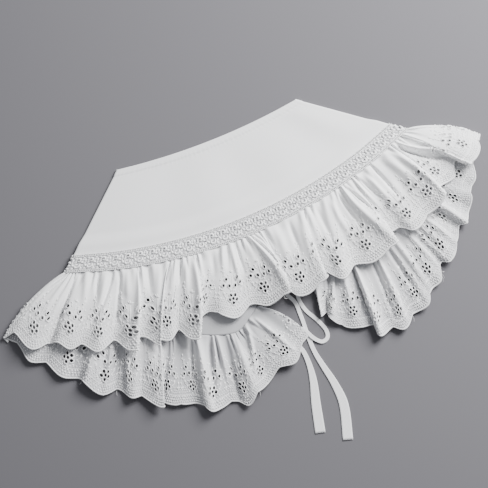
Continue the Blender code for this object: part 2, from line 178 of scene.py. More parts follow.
BACK_RIGHT_FOLDS = [
    Fold(2, 280, -120, 0.9, 4),
    Fold(16, 265, -144, 3.5, 0),
    Fold(25, 256, -163, 5, 0),
    Fold(32, 248, -171, 3, 0),
    Fold(42, 244, -182, 5, 0),
    Fold(50, 233, -195, 2, 0),
    Fold(57, 226, -209, 7, 0),
    Fold(64, 216, -206, 2.5, 0),
    Fold(71, 206, -225, 5, 0),
    Fold(82, 189, -240, 7, 0),
    Fold(88, 181, -238, 2.5, 0),
    Fold(98, 171, -255, 5, 0),
    Fold(105, 159, -260, 2.5, 0),
    Fold(116, 148, -274, 6, 0),
    Fold(125, 131, -278, 3, 0),
    Fold(136, 112, -289, 6, 0),
    Fold(146, 99, -284, 4, 0),
    Fold(158, 84, -286, 8, 0),
    Fold(164, 83, -274, 2.5, 0),
    Fold(173, 70, -269, 4.5, 0),
    Fold(182, 53, -262, 2.5, 0),
    Fold(191, 43, -248, 6.5, 0),
    Fold(198, 42, -238, 3, 0),
    Fold(207, 34, -243, 5.5, 0),
    Fold(217, 47, -236, 2.2, 0),
]

# How far along each hem the middle of every scallop lies, as the photograph shows them
FRONT_LOBES = [
    -10, 30, 77, 112, 155, 207, 243, 278, 318, 354, 395, 432, 468, 502, 535, 579, 622, 666, 700, 740, 777,
    808, 836, 866,
]
BACK_LEFT_LOBES = [-8, 33, 74, 127, 158, 190, 222, 253, 278, 317, 348, 390, 428]
BACK_RIGHT_LOBES = [-30, 12, 54, 84, 122, 156, 196, 230, 260, 288, 324, 358, 395]


class Wisp(NamedTuple):
    """A loose end of thread at the hem."""

    along: float
    lean: float
    length: float


FRONT_WISPS = [Wisp(137, 2.5, 3.0), Wisp(299, -2.0, 2.5), Wisp(414, 3.0, 2.5), Wisp(683, 2.0, 3.5)]
BACK_LEFT_WISPS = [Wisp(100, -2.0, 2.5), Wisp(143, 1.0, 4.0), Wisp(205, 2.5, 3.0), Wisp(335, -2.0, 3.0)]
BACK_RIGHT_WISPS = [Wisp(181, -3.0, 3.5), Wisp(184, 1.5, 4.5), Wisp(187, 4.0, 3.0), Wisp(246, 2.0, 3.0)]


class TapePoint(NamedTuple):
    """A place on the middle line of a tape, and how wide the tape is there."""

    x: float
    y: float
    z: float
    width: float


TIE_LEFT = [
    TapePoint(-73.6, -107.3, 0.6, 5),
    TapePoint(-64, -107, 0.6, 5),
    TapePoint(-50, -120, 0.6, 5),
    TapePoint(-18, -162, 0.6, 5),
    TapePoint(14, -211, 0.6, 4.4),
    TapePoint(15, -231, 0.6, 4.4),
    TapePoint(14, -245, 0.6, 4.4),
    TapePoint(13, -258, 0.6, 4.6),
    TapePoint(13, -273, 0.6, 5),
    TapePoint(15, -288, 0.6, 6),
    TapePoint(19, -313, 0.6, 8),
    TapePoint(19, -337, 0.6, 10),
    TapePoint(8, -373, 0.6, 11),
]

TIE_RIGHT = [
    TapePoint(83.2, -101.4, 0.6, 5),
    TapePoint(75, -98, 0.6, 5),
    TapePoint(65, -107, 0.6, 5),
    TapePoint(43, -163, 0.6, 5),
    TapePoint(21, -209, 0.6, 4.4),
    TapePoint(22, -226, 0.6, 4.4),
    TapePoint(30, -243, 0.6, 4.4),
    TapePoint(34, -256, 0.6, 4.4),
    TapePoint(32, -264, 0.7, 4.4),
    TapePoint(25, -266, 0.9, 4.4),
    TapePoint(18, -259, 1.7, 4.4),
    TapePoint(13, -249, 2.1, 4.4),
    TapePoint(6, -242, 1.7, 4.4),
    TapePoint(-1, -245, 0.9, 4.4),
    TapePoint(-2, -255, 0.7, 4.6),
    TapePoint(2, -268, 0.6, 5),
    TapePoint(2, -285, 0.6, 6),
    TapePoint(-1, -302, 0.6, 8),
    TapePoint(-8, -325, 0.6, 10),
    TapePoint(-16, -355, 0.6, 11),
]


def smoothstep(start: float, stop: float, value: np.ndarray) -> np.ndarray:
    """Rises smoothly from 0 at start to 1 at stop."""
    share = np.clip((value - start) / (stop - start), 0.0, 1.0)
    return share * share * (3.0 - 2.0 * share)


class Curve:
    """A smooth line through points of any number of columns, read by the distance along it."""

    def __init__(self, points: list, measured: int) -> None:
        """Prepares the line.

        Args:
            points: The rows that the line passes through.
            measured: How many of the first columns give the distance along it.
        """
        self.points = np.array(points, float)
        steps = np.linalg.norm(np.diff(self.points[:, :measured], axis=0), axis=1)
        self.knots = np.concatenate(([0.0], np.cumsum(steps)))
        self.length = float(self.knots[-1])
        count = len(self.points)
        first = np.maximum(np.arange(count) - 1, 0)
        last = np.minimum(np.arange(count) + 1, count - 1)
        span = (self.knots[last] - self.knots[first])[:, None]
        self.slopes = (self.points[last] - self.points[first]) / span

    def at(self, share: np.ndarray) -> np.ndarray:
        """Reads the line.

        Args:
            share: Shares of the line's length.

        Returns:
            The rows, one for each share.
        """
        distance = np.clip(share, 0.0, 1.0) * self.length
        index = np.searchsorted(self.knots, distance, side="right") - 1
        index = np.clip(index, 0, len(self.knots) - 2)
        span = (self.knots[index + 1] - self.knots[index])[:, None]
        t = (distance - self.knots[index])[:, None] / span
        return (
            (1 + 2 * t) * (1 - t) ** 2 * self.points[index]
            + t * (1 - t) ** 2 * span * self.slopes[index]
            + t * t * (3 - 2 * t) * self.points[index + 1]
            + t * t * (t - 1) * span * self.slopes[index + 1]
        )


def arc_points(start: tuple, middle: tuple, end: tuple, count: int = 9) -> list:
    """Points along the circle through three points in plan.

    Args:
        start: The first point, as x and y.
        middle: A point between the other two.
        end: The last point.
        count: How many points to give.

    Returns:
        The points, evenly apart.
    """
    (ax, ay), (bx, by), (cx, cy) = start, middle, end
    turn = 2 * (ax * (by - cy) + bx * (cy - ay) + cx * (ay - by))
    square_a, square_b, square_c = ax * ax + ay * ay, bx * bx + by * by, cx * cx + cy * cy
    x = (square_a * (by - cy) + square_b * (cy - ay) + square_c * (ay - by)) / turn
    y = (square_a * (cx - bx) + square_b * (ax - cx) + square_c * (bx - ax)) / turn
    radius = math.hypot(ax - x, ay - y)
    first = math.atan2(ay - y, ax - x)
    last = math.atan2(cy - y, cx - x)
    angles = [first + (last - first) * step / (count - 1) for step in range(count)]
    return [(x + radius * math.cos(angle), y + radius * math.sin(angle)) for angle in angles]


def outward_from(inner: tuple, outer: tuple) -> np.ndarray:
    """The direction in plan that points out of the collar across a shoulder fold.

    Args:
        inner: The fold's end nearer the neck, as x and y.
        outer: Its end nearer the hem.

    Returns:
        A direction one long.
    """
    along = np.array((outer[0] - inner[0], outer[1] - inner[1]))
    across = np.array((-along[1], along[0])) / np.linalg.norm(along)
    return across if across[0] * inner[0] > 0 else -across


def fold_over(
    top: np.ndarray, under: np.ndarray, outward: np.ndarray, overshoot: np.ndarray, lift: np.ndarray
) -> np.ndarray:
    """Cloth carried round a folded edge and on underneath.

    Args:
        top: Points on the fold line, on the upper layer's middle.
        under: Height of the lower layer's middle under each of them.
        outward: The direction in plan out across the fold.
        overshoot: How far past the fold line each point lies, along the cloth.
        lift: How far each point stands off the cloth's outer face.

    Returns:
        The points in their places.
    """
    radius = (top[:, 2] - under) / 2
    turn = np.clip(overshoot / radius, 0.0, math.pi)
    beyond = np.maximum(0.0, overshoot - math.pi * radius)
    reach = (radius + lift) * np.sin(turn) - beyond
    height = (top[:, 2] + under) / 2 + (radius + lift) * np.cos(turn)
    return np.column_stack((top[:, :2] + outward * reach[:, None], height))


class Swell(NamedTuple):
    """A soft raised or sunk place in the yoke's cloth."""

    across: float
    down: float
    width: float
    length: float
    height: float


YOKE_SWELLS = [
    Swell(0.12, 0.55, 0.10, 0.35, 0.7),
    Swell(0.30, 0.30, 0.12, 0.25, -0.8),
    Swell(0.42, 0.62, 0.09, 0.30, 1.0),
    Swell(0.55, 0.35, 0.10, 0.30, -1.0),
    Swell(0.68, 0.66, 0.08, 0.25, 0.9),
    Swell(0.84, 0.45, 0.07, 0.40, -0.8),
    Swell(0.93, 0.40, 0.05, 0.40, 0.8),
]


class Side(Enum):
    """Which way the outer face of a piece looks."""

    UP = 1
    DOWN = -1


@dataclass
class YokeForm:
    """The middle surface of one panel of the yoke, with the outer face's side.

    Places on it are given as a share across the panel, from one end of the seam to the other, and a share
    down it, from the neck edge to the seam.
    """

    neck: Curve
    seam: Curve
    neck_height: float
    seam_height: float
    rise: tuple[float, float]
    face: Side
    swells: list[Swell] = field(default_factory=list)
    folded: bool = False

    def depth(self, across: np.ndarray) -> np.ndarray:
        """How deep the yoke is, in plan."""
        return np.linalg.norm(self.seam.at(across) - self.neck.at(across), axis=1)

    def height(self, down: np.ndarray) -> np.ndarray:
        """Height of the cloth's middle."""
        return self.neck_height + (self.seam_height - self.neck_height) * smoothstep(*self.rise, down)

    def relief(self, across: np.ndarray, down: np.ndarray) -> np.ndarray:
        """How far the soft swells lift the cloth.

        Args:
            across: Shares across the panel.
            down: Shares down it.

        Returns:
            The lift at each place.
        """
        total = np.zeros(len(across))
        for swell in self.swells:
            near = ((across - swell.across) / swell.width) ** 2 + ((down - swell.down) / swell.length) ** 2
            total += swell.height * np.exp(-near)
        return total * smoothstep(0.0, 0.15, down) * smoothstep(0.0, 0.2, 0.85 - down)

    def place(self, across: np.ndarray, down: np.ndarray, lift: np.ndarray) -> np.ndarray:
        """Points on the cloth, carried round the shoulder folds where they lie past its ends.

        Args:
            across: Shares across the panel, past 0 and 1 where the cloth is folded under.
            down: Shares down it.
            lift: How far each point stands off the cloth's middle, on its outer side.

        Returns:
            The points.
        """
        inside = np.clip(across, 0.0, 1.0)
        top = self.neck.at(inside)
        flat = top + (self.seam.at(inside) - top) * down[:, None]
        height = self.height(down) + self.relief(inside, down)
        points = np.column_stack((flat, height + self.face.value * lift))
        if not self.folded:
            return points
        back = BACK_NECK_HEIGHT + (BACK_SEAM_HEIGHT - BACK_NECK_HEIGHT) * smoothstep(*BACK_RISE, down)
        middle = np.column_stack((flat, height))
        for past, inner, outer in (
            (-across, NECK_LEFT, SEAM_LEFT),
            (across - 1.0, NECK_RIGHT, SEAM_RIGHT),
        ):
            rows = past > 0
            overshoot = past[rows] * self.seam.length
            outward = outward_from(inner, outer)
            points[rows] = fold_over(middle[rows], back[rows], outward, overshoot, lift[rows])
        return points


class Crease(NamedTuple):
    """A soft ridge or trough in a ruffle, between two places along and up from its hem."""

    along: float
    up: float
    to_along: float
    to_up: float
    width: float
    height: float


FRONT_CREASES = [
    Crease(22, 84, 14, 40, 3.0, -1.8),
    Crease(36, 86, 32, 46, 4.0, 1.8),
    Crease(52, 84, 46, 22, 5.0, 1.9),
    Crease(66, 86, 58, 4, 2.8, -4.0),
    Crease(80, 86, 86, 54, 4.0, 2.1),
    Crease(98, 86, 102, 60, 2.6, -2.6),
    Crease(112, 86, 110, 44, 5.0, 2.5),
    Crease(127, 86, 101, 26, 3.2, -3.5),
    Crease(141, 85, 136, 22, 2.6, -3.7),
    Crease(153, 86, 152, 44, 5.0, 2.6),
    Crease(167, 84, 160, 8, 3.6, 3.7),
    Crease(175, 86, 166, 4, 2.4, -4.8),
    Crease(188, 86, 190, 54, 3.6, 2.3),
    Crease(199, 86, 200, 52, 2.4, -2.6),
    Crease(209, 86, 206, 44, 3.6, 2.1),
    Crease(224, 84, 217, 6, 3.2, 4.0),
    Crease(232, 86, 223, 2, 2.4, -4.8),
    Crease(246, 86, 244, 50, 5.0, 2.6),
    Crease(261, 84, 260, 56, 2.6, -2.8),
    Crease(272, 86, 270, 48, 4.4, 2.5),
    Crease(285, 86, 285, 6, 3.6, 4.0),
    Crease(296, 85, 290, 6, 2.8, -5.3),
    Crease(312, 86, 316, 50, 5.0, 1.5),
    Crease(333, 84, 334, 48, 2.8, -2.2),
    Crease(342, 86, 345, 52, 3.4, 1.8),
    Crease(357, 88, 366, 34, 3.2, 2.7),
    Crease(368, 86, 376, 42, 2.8, -2.5),
    Crease(392, 86, 395, 46, 5.0, 1.8),
    Crease(408, 88, 421, 8, 3.6, 2.9),
    Crease(417, 86, 428, 16, 2.6, -3.2),
    Crease(440, 86, 440, 46, 4.0, 1.8),
    Crease(454, 88, 450, 50, 2.6, -2.2),
    Crease(467, 88, 465, 42, 3.4, 2.0),
    Crease(480, 86, 479, 46, 2.6, -2.4),
    Crease(494, 86, 488, 30, 4.2, 1.9),
    Crease(506, 84, 498, 4, 2.8, -3.2),
    Crease(519, 86, 524, 36, 4.4, 2.3),
    Crease(531, 84, 538, 40, 2.6, -2.5),
    Crease(550, 82, 565, 32, 4.6, 2.3),
    Crease(571, 84, 584, 44, 2.8, -3.2),
    Crease(589, 82, 611, 6, 5.2, 4.4),
    Crease(604, 84, 624, 16, 3.0, -4.8),
    Crease(633, 80, 640, 36, 4.2, 3.0),
    Crease(645, 84, 650, 48, 2.4, -3.3),
    Crease(656, 84, 659, 44, 3.4, 2.8),
    Crease(676, 86, 673, 40, 2.8, -3.5),
    Crease(696, 84, 699, 36, 4.0, 2.8),
    Crease(708, 82, 713, 4, 3.6, 4.0),
    Crease(718, 86, 728, 8, 3.4, -4.8),
    Crease(738, 83, 788, 2, 3.4, 5.4),
    Crease(728, 78, 772, 8, 3.6, -5.6),
    Crease(766, 84, 790, 40, 8.0, 1.4),
    Crease(148, 62, 160, 40, 6.0, -1.1),
    Crease(246, 60, 238, 34, 7.0, -1.2),
    Crease(322, 62, 330, 34, 8.0, -1.0),
    Crease(392, 58, 382, 36, 6.0, 0.9),
    Crease(452, 58, 464, 34, 6.0, -0.9),
    Crease(558, 56, 574, 34, 6.0, 1.0),
    Crease(690, 56, 682, 34, 6.0, -1.2),
]

BACK_LEFT_CREASES = [
    Crease(62, 50, 60, 4, 6.0, 1.8),
    Crease(84, 50, 82, 4, 4.0, -2.0),
    Crease(101, 60, 104, 3, 7.0, 3.0),
    Crease(119, 60, 124, 6, 4.0, -2.6),
    Crease(136, 60, 141, 6, 5.0, -3.0),
    Crease(152, 66, 157, 6, 3.4, 3.2),
    Crease(184, 80, 184, 6, 14.0, 2.6),
    Crease(206, 84, 205, 8, 7.0, 2.6),
    Crease(223, 84, 219, 4, 3.0, -5.4),
    Crease(240, 84, 236, 10, 9.0, -1.8),
    Crease(246, 86, 248, 60, 3.0, 1.6),
    Crease(259, 86, 254, 30, 2.8, -3.0),
    Crease(272, 86, 268, 8, 5.6, 4.4),
    Crease(285, 86, 279, 8, 3.0, -5.2),
    Crease(293, 88, 289, 50, 2.6, 3.4),
    Crease(300, 88, 294, 44, 2.2, -3.8),
    Crease(306, 88, 300, 30, 3.0, 3.0),
    Crease(315, 90, 308, 6, 3.2, -4.8),
    Crease(333, 89, 328, 8, 6.0, 2.4),
    Crease(383, 90, 342, 27, 3.4, 3.6),
    Crease(401, 82, 397, 10, 2.4, 3.4),
    Crease(410, 82, 407, 14, 5.0, -2.6),
]

BACK_RIGHT_CREASES = [
    Crease(60, 50, 62, 4, 5.0, 2.3),
    Crease(86, 50, 84, 4, 4.0, -1.8),
    Crease(106, 50, 108, 4, 5.0, 2.8),
    Crease(126, 54, 122, 6, 3.6, -2.3),
    Crease(142, 56, 140, 6, 4.4, 3.0),
    Crease(162, 60, 160, 10, 3.8, -3.0),
    Crease(182, 70, 180, 10, 4.4, 3.0),
    Crease(208, 72, 207, 4, 5.4, 4.1),
    Crease(226, 80, 228, 8, 3.6, -3.7),
    Crease(252, 80, 256, 8, 4.0, 4.1),
    Crease(264, 84, 268, 14, 3.0, -3.4),
    Crease(294, 80, 291, 4, 3.6, 4.8),
    Crease(304, 84, 302, 8, 3.0, -3.9),
    Crease(322, 84, 326, 14, 5.0, 3.0),
    Crease(342, 80, 354, 12, 3.0, 3.9),
    Crease(352, 84, 364, 14, 3.0, -3.2),
    Crease(374, 84, 378, 14, 4.0, 2.8),
]

# The ruffle's strip: its depth, how much of that is embroidered, and the most of the way from the hem to
# the seam that the embroidered part takes where the cloth is gathered
STRIP_DEPTH = 90.0
EMBROIDERED = 50.0
KNEE_SHARE = 0.6
# The lowest that the cloth's middle lies, and how soon above that it starts to level out
LOWEST_MIDDLE = 0.7
LANDING = 0.7


class Wave(NamedTuple):
    """An uneven wave along the hem: its height, how many times it turns, and where it starts."""

    height: float
    turns: float
    start: float

    def at(self, turn: np.ndarray) -> np.ndarray:
        """Its height at these angles, of which a whole turn is the hem's length."""
        return self.height * np.sin(self.turns * turn + self.start)


# What makes the gathers uneven: how far they drift along the seam, and how their height and reach vary
WIDE_DRIFT = Wave(1.1, 9, 1)
NARROW_DRIFT = Wave(0.8, 23, 2.1)
HEIGHT_WAVE = Wave(0.3, 13, 0.6)
REACH_WAVE = Wave(0.3, 17, 0.5)
MEAN_SHARE = 0.7


@dataclass
class RuffleForm:
    """The middle surface of one stretch of the ruffle.

    Places on it are given in the strip's own flat millimetres: along the hem, and up from the line that
    touches its scallops' lowest points.
    """

    folds: list[Fold]
    seam: Curve
    root_height: float
    mean_height: float
    gathers: int
    creases: list[Crease]
    folded: bool
    puff: float
    crest_boost: float = 0.9
    trough_boost: float = 0.25
    gather_height: float = 2.0
    gather_reach: float = 0.42
    normal_step: float = 0.4

    def __post_init__(self) -> None:
        """Prepares the hem's line."""
        rows = [(fold.x, fold.y, fold.z, fold.seam, fold.bow) for fold in self.folds]
        self.hem = Curve(rows, 3)

    def gather(self, share_along: np.ndarray, level: np.ndarray) -> np.ndarray:
        """The small uneven waves that the gathering thread pulls into the cloth.

        Args:
            share_along: Shares along the hem.
            level: Shares of the way from the seam to the hem.

        Returns:
            How far the waves lift the cloth at each place.
        """
        turn = 2 * math.pi * share_along
        phase = self.gathers * turn + WIDE_DRIFT.at(turn) + NARROW_DRIFT.at(turn)
        strength = MEAN_SHARE + HEIGHT_WAVE.at(turn)
        reach = self.gather_reach * (MEAN_SHARE + REACH_WAVE.at(turn))
        fade = np.clip(1.0 - level / reach, 0.0, 1.0)
        free = np.clip(0.5 + 8.0 * level, 0.0, 1.0)
        return self.gather_height * strength * free * fade * (np.sin(phase) + 0.25 * np.sin(2 * phase))

    def middle(self, along: np.ndarray, up: np.ndarray) -> np.ndarray:
        """Points on the middle surface.

        Args:
            along: Distances along the strip's hem.
            up: Distances up from it.

        Returns:
            The points.
        """
        share_along = np.clip(along / self.hem.length, 0.0, 1.0)
        x, y, z, seam_distance, bow = self.hem.at(share_along).T
        root = self.seam.at(seam_distance / self.seam.length)
        foot = np.column_stack((x, y))
        rise = z - self.root_height
        reach = np.sqrt(((foot - root) ** 2).sum(axis=1) + rise**2)
        knee = np.minimum(EMBROIDERED, KNEE_SHARE * reach)
        beyond = (up - EMBROIDERED) / (STRIP_DEPTH - EMBROIDERED)
        climb = np.where(up <= EMBROIDERED, up * knee / EMBROIDERED, knee + beyond * (reach - knee))
        level = 1.0 - climb / reach
        aside = np.column_stack((root[:, 1] - foot[:, 1], foot[:, 0] - root[:, 0]))
        aside /= np.linalg.norm(aside, axis=1)[:, None]
        plan = root + (foot - root) * level[:, None] + aside * (bow * 4 * level * (1 - level))[:, None]
        swing = z - self.mean_height
        boost = np.where(swing > 0, self.crest_boost, self.trough_boost)
        height = self.root_height + (self.mean_height - self.root_height) * level
        height += swing * level * (1 + boost * (1 - level))
        height += self.puff * 4 * level * (1 - level)
        height += self.gather(share_along, level)
        for crease in self.creases:
            height += self.crease_height(crease, along, up)
        spare = height - LOWEST_MIDDLE
        height = LOWEST_MIDDLE + (spare + np.sqrt(spare**2 + LANDING**2)) / 2
        return np.column_stack((plan, height))

    def crease_height(self, crease: Crease, along: np.ndarray, up: np.ndarray) -> np.ndarray:
        """How far one crease lifts the cloth at these places.

        Args:
            crease: The crease.
            along: Distances along the strip's hem.
            up: Distances up from it.

        Returns:
            The lift at each place.
        """
        run = crease.to_along - crease.along
        climb = crease.to_up - crease.up
        share = ((along - crease.along) * run + (up - crease.up) * climb) / (run * run + climb * climb)
        held = np.clip(share, 0.0, 1.0)
        off = (along - crease.along - held * run) ** 2 + (up - crease.up - held * climb) ** 2
        strength = 0.3 + 0.7 * np.sin(math.pi * held**0.7)
        return crease.height * strength * np.exp(-off / crease.width**2)

    def place(self, along: np.ndarray, up: np.ndarray, lift: np.ndarray) -> np.ndarray:
        """Points that stand off the cloth's middle, on its upper side.

        Args:
            along: Distances along the strip's hem, past its ends where the cloth is folded under.
            up: Distances up from it.
            lift: How far each point stands off the cloth's middle.

        Returns:
            The points.
        """
        step = self.normal_step
        here = self.middle(along, up)
        ahead = self.middle(along + step, up) - self.middle(along - step, up)
        upward = self.middle(along, up + step) - self.middle(along, up - step)
        normal = np.cross(ahead, upward)
        normal /= np.maximum(np.linalg.norm(normal, axis=1), TINY)[:, None]
        points = here + normal * lift[:, None]
        if not self.folded:
            return points
        for past, fold in ((-along, self.folds[0]), (along - self.hem.length, self.folds[-1])):
            rows = past > 0
            if not rows.any():
                continue
            seam_end = self.seam.at(np.array([fold.seam / self.seam.length]))[0]
            outward = outward_from(tuple(seam_end), (fold.x, fold.y))
            level = 1.0 - np.clip(up[rows] / STRIP_DEPTH, 0.0, 1.0)
            under = BACK_SEAM_HEIGHT + (BACK_HEM_HEIGHT - BACK_SEAM_HEIGHT) * level
            points[rows] = fold_over(here[rows], under, outward, past[rows], lift[rows])
        return points


@dataclass
class Patch:
    """Points and faces in a cloth's own flat coordinates: along, up and lift."""

    points: list = field(default_factory=list)
    faces: list = field(default_factory=list)

    def add(self, points: np.ndarray, faces: list) -> None:
        """Adds a shape.

        Args:
            points: The points, one row each.
            faces: Faces that count these points from 0.
        """
        start = sum(len(block) for block in self.points)
        self.points.append(np.asarray(points, float))
        self.faces.extend(tuple(index + start for index in face) for face in faces)

    def array(self) -> np.ndarray:
        """All the points in one array."""
        return np.concatenate(self.points)

    def repeated(self, count: int) -> list:
        """The faces of `count` copies of this patch, one after the other."""
        size = len(self.array())
        return [tuple(index + size * copy for index in face) for copy in range(count) for face in self.faces]


STROKE_SIDES = 4


def stroke(
    path: np.ndarray,
    width: float,
    height: float,
    closed: bool = False,
    taper: float = 0.45,
    lift: float = 0.0,
) -> tuple[np.ndarray, list]:
    """A raised line of stitches along a path on the flat cloth.

    Args:
        path: Places along and up, one row each.
        width: How wide the stitches are.
        height: How far they stand off the middle of the cloth, on both sides.
        closed: Whether the path is a ring.
        taper: How wide an open path's ends are, as a share of its width.
        lift: How far the line's own middle stands off the cloth's middle.

    Returns:
        Points as along, up and lift, and faces.
    """
    path = np.asarray(path, float)
    count = len(path)
    if closed:
        heading = np.roll(path, -1, axis=0) - np.roll(path, 1, axis=0)
        size = np.ones(count)
    else:
        heading = np.gradient(path, axis=0)
        share = np.linspace(0.0, 1.0, count)
        size = taper + (1 - taper) * np.sqrt(np.clip(np.sin(math.pi * share), 0.0, 1.0))
    heading /= np.maximum(np.linalg.norm(heading, axis=1), TINY)[:, None]
    aside = np.column_stack((-heading[:, 1], heading[:, 0]))
    points = []
    for side in range(STROKE_SIDES):
        angle = 2 * math.pi * side / STROKE_SIDES
        place = path + aside * (math.cos(angle) * width / 2 * size)[:, None]
        points.append(np.column_stack((place, lift + math.sin(angle) * height * size)))
    grid = np.stack(points, axis=1).reshape(-1, 3)
    faces = []
    for step in range(count if closed else count - 1):
        here, ahead = step * STROKE_SIDES, (step + 1) % count * STROKE_SIDES
        for side in range(STROKE_SIDES):
            beside = (side + 1) % STROKE_SIDES
            faces.append((here + side, ahead + side, ahead + beside, here + beside))
    if not closed:
        faces.append(tuple(range(STROKE_SIDES)))
        last = (count - 1) * STROKE_SIDES
        faces.append(tuple(reversed(range(last, last + STROKE_SIDES))))
    return grid, faces


def circle(x: float, y: float, radius: float, count: int) -> np.ndarray:
    """Places round a circle."""
    angles = np.arange(count) * 2 * math.pi / count
    return np.column_stack((x + radius * np.cos(angles), y + radius * np.sin(angles)))


LEAF_HEIGHT = 1.05
LEAF_TAPER = 0.15


def leaf(x: float, y: float, degrees: float, length: float, width: float) -> tuple[np.ndarray, list]:
    """A satin-stitched leaf that starts at a place and points one way.

    Args:
        x: Where it starts, along the hem.
        y: Where it starts, up from the hem.
        degrees: The way it points, from along the hem round to up.
        length: How long it is.
        width: How wide it is in the middle.

    Returns:
        Points as along, up and lift, and faces.
    """
    angle = math.radians(degrees)
    share = np.linspace(0.0, 1.0, 5)
    path = np.column_stack((x + math.cos(angle) * length * share, y + math.sin(angle) * length * share))
    return stroke(path, width, LEAF_HEIGHT, taper=LEAF_TAPER)


def bent(start: tuple, middle: tuple, end: tuple, count: int = 7) -> np.ndarray:
    """Places along a bent line.

    Args:
        start: The first place.
        middle: The place that the curve leans towards.
        end: The last place.
        count: How many places to give.

    Returns:
        The places.
    """
    share = np.linspace(0.0, 1.0, count)[:, None]
    a, b, c = (np.array(place, float) for place in (start, middle, end))
    return a * (1 - share) ** 2 + 2 * b * share * (1 - share) + c * share**2


class Stitch(NamedTuple):
    """How wide a line of stitches is, and how far it stands off the cloth's middle."""

    width: float
    height: float


class Stem(NamedTuple):
    """A stem in the right-hand half of the pattern: where it starts, leans towards and ends."""

    start: tuple[float, float]
    middle: tuple[float, float]
    end: tuple[float, float]


class Sprig(NamedTuple):
    """A leaf in the right-hand half of the pattern, and the way it points, in degrees."""

    x: float
    y: float
    degrees: float
    length: float


class StitchRow(NamedTuple):
    """A row of small stitches: how far above the edge it runs, and how far along it is shifted."""

    rise: float
    shift: float


FLOWER_HEIGHT = 21.5
STEMS = [
    Stem((0, FLOWER_HEIGHT + 8), (3, FLOWER_HEIGHT + 11), (7, FLOWER_HEIGHT + 12)),
    Stem((7, FLOWER_HEIGHT + 1), (12, FLOWER_HEIGHT), (14, FLOWER_HEIGHT + 8)),
    Stem((9, 45), (12, 48), (12, 56)),
    Stem((19.5, 13), (17, 20), (18.5, 31)),
]
SPRIGS = [
    Sprig(11, FLOWER_HEIGHT + 3, 75, 4.0),
    Sprig(14, FLOWER_HEIGHT + 8, 110, 3.6),
    Sprig(14, FLOWER_HEIGHT + 8, 50, 3.6),
    Sprig(3, 43, 60, 4.0),
    Sprig(3, 46, 40, 3.6),
    Sprig(12, 56, 90, 4.0),
    Sprig(12, 52, 35, 3.4),
    Sprig(12, 50, 140, 3.4),
    Sprig(18, 19, 55, 3.6),
    Sprig(18, 24, 65, 3.6),
    Sprig(18, 19, 130, 3.6),
    Sprig(18.4, 30, 95, 4.2),
]
MIDDLE_STEM = Stem((0, FLOWER_HEIGHT + 7), (0.6, 38), (0, 51))
MIDDLE_SPRIGS = [Sprig(0, 50.5, 90, 4.5), Sprig(0, 50.5, 50, 4), Sprig(0, 50.5, 130, 4)]
SEED_ROWS = [StitchRow(13.4, 0.0), StitchRow(16.0, 1.5), StitchRow(18.6, 0.0)]
BAR_ROWS = [StitchRow(2.3, 0.0), StitchRow(5.2, 1.5), StitchRow(8.1, 0.0)]

# How near a place is to the border when it counts as on it, and to another place when the two are one
ON_BORDER = 1e-6
SAME_PLACE = 1e-5
# A triangle is cloth where its middle lies beyond this share of a hole's radius, and above the scalloped
# edge or no more than this slack below it
HOLE_SHARE = 0.97
EDGE_SLACK = 0.02


def towards(x: float, y: float, degrees: float, reach: float) -> tuple[float, float]:
    """The place this far from x and y, at this angle from along the hem round to up."""
    angle = math.radians(degrees)
    return x + reach * math.cos(angle), y + reach * math.sin(angle)


def copied_along(flat: np.ndarray, rows: list) -> np.ndarray:
    """Copies flat places once for each row of new places along the cloth."""
    return np.concatenate([np.column_stack((along, flat[:, 1:])) for along in rows])


@dataclass
class Outline:
    """Places, and the edges between them, to be filled with triangles."""

    places: list = field(default_factory=list)
    edges: list = field(default_factory=list)

    def chain(self, line: np.ndarray, closed: bool = False) -> None:
        """Adds a line of places, each joined to the next.

        Args:
            line: The places, one row each.
            closed: Whether the last is joined to the first.
        """
        start = len(self.places)
        self.places.extend(map(tuple, line))
        self.edges.extend((start + step, start + step + 1) for step in range(len(line) - 1))
        if closed:
            self.edges.append((start + len(line) - 1, start))


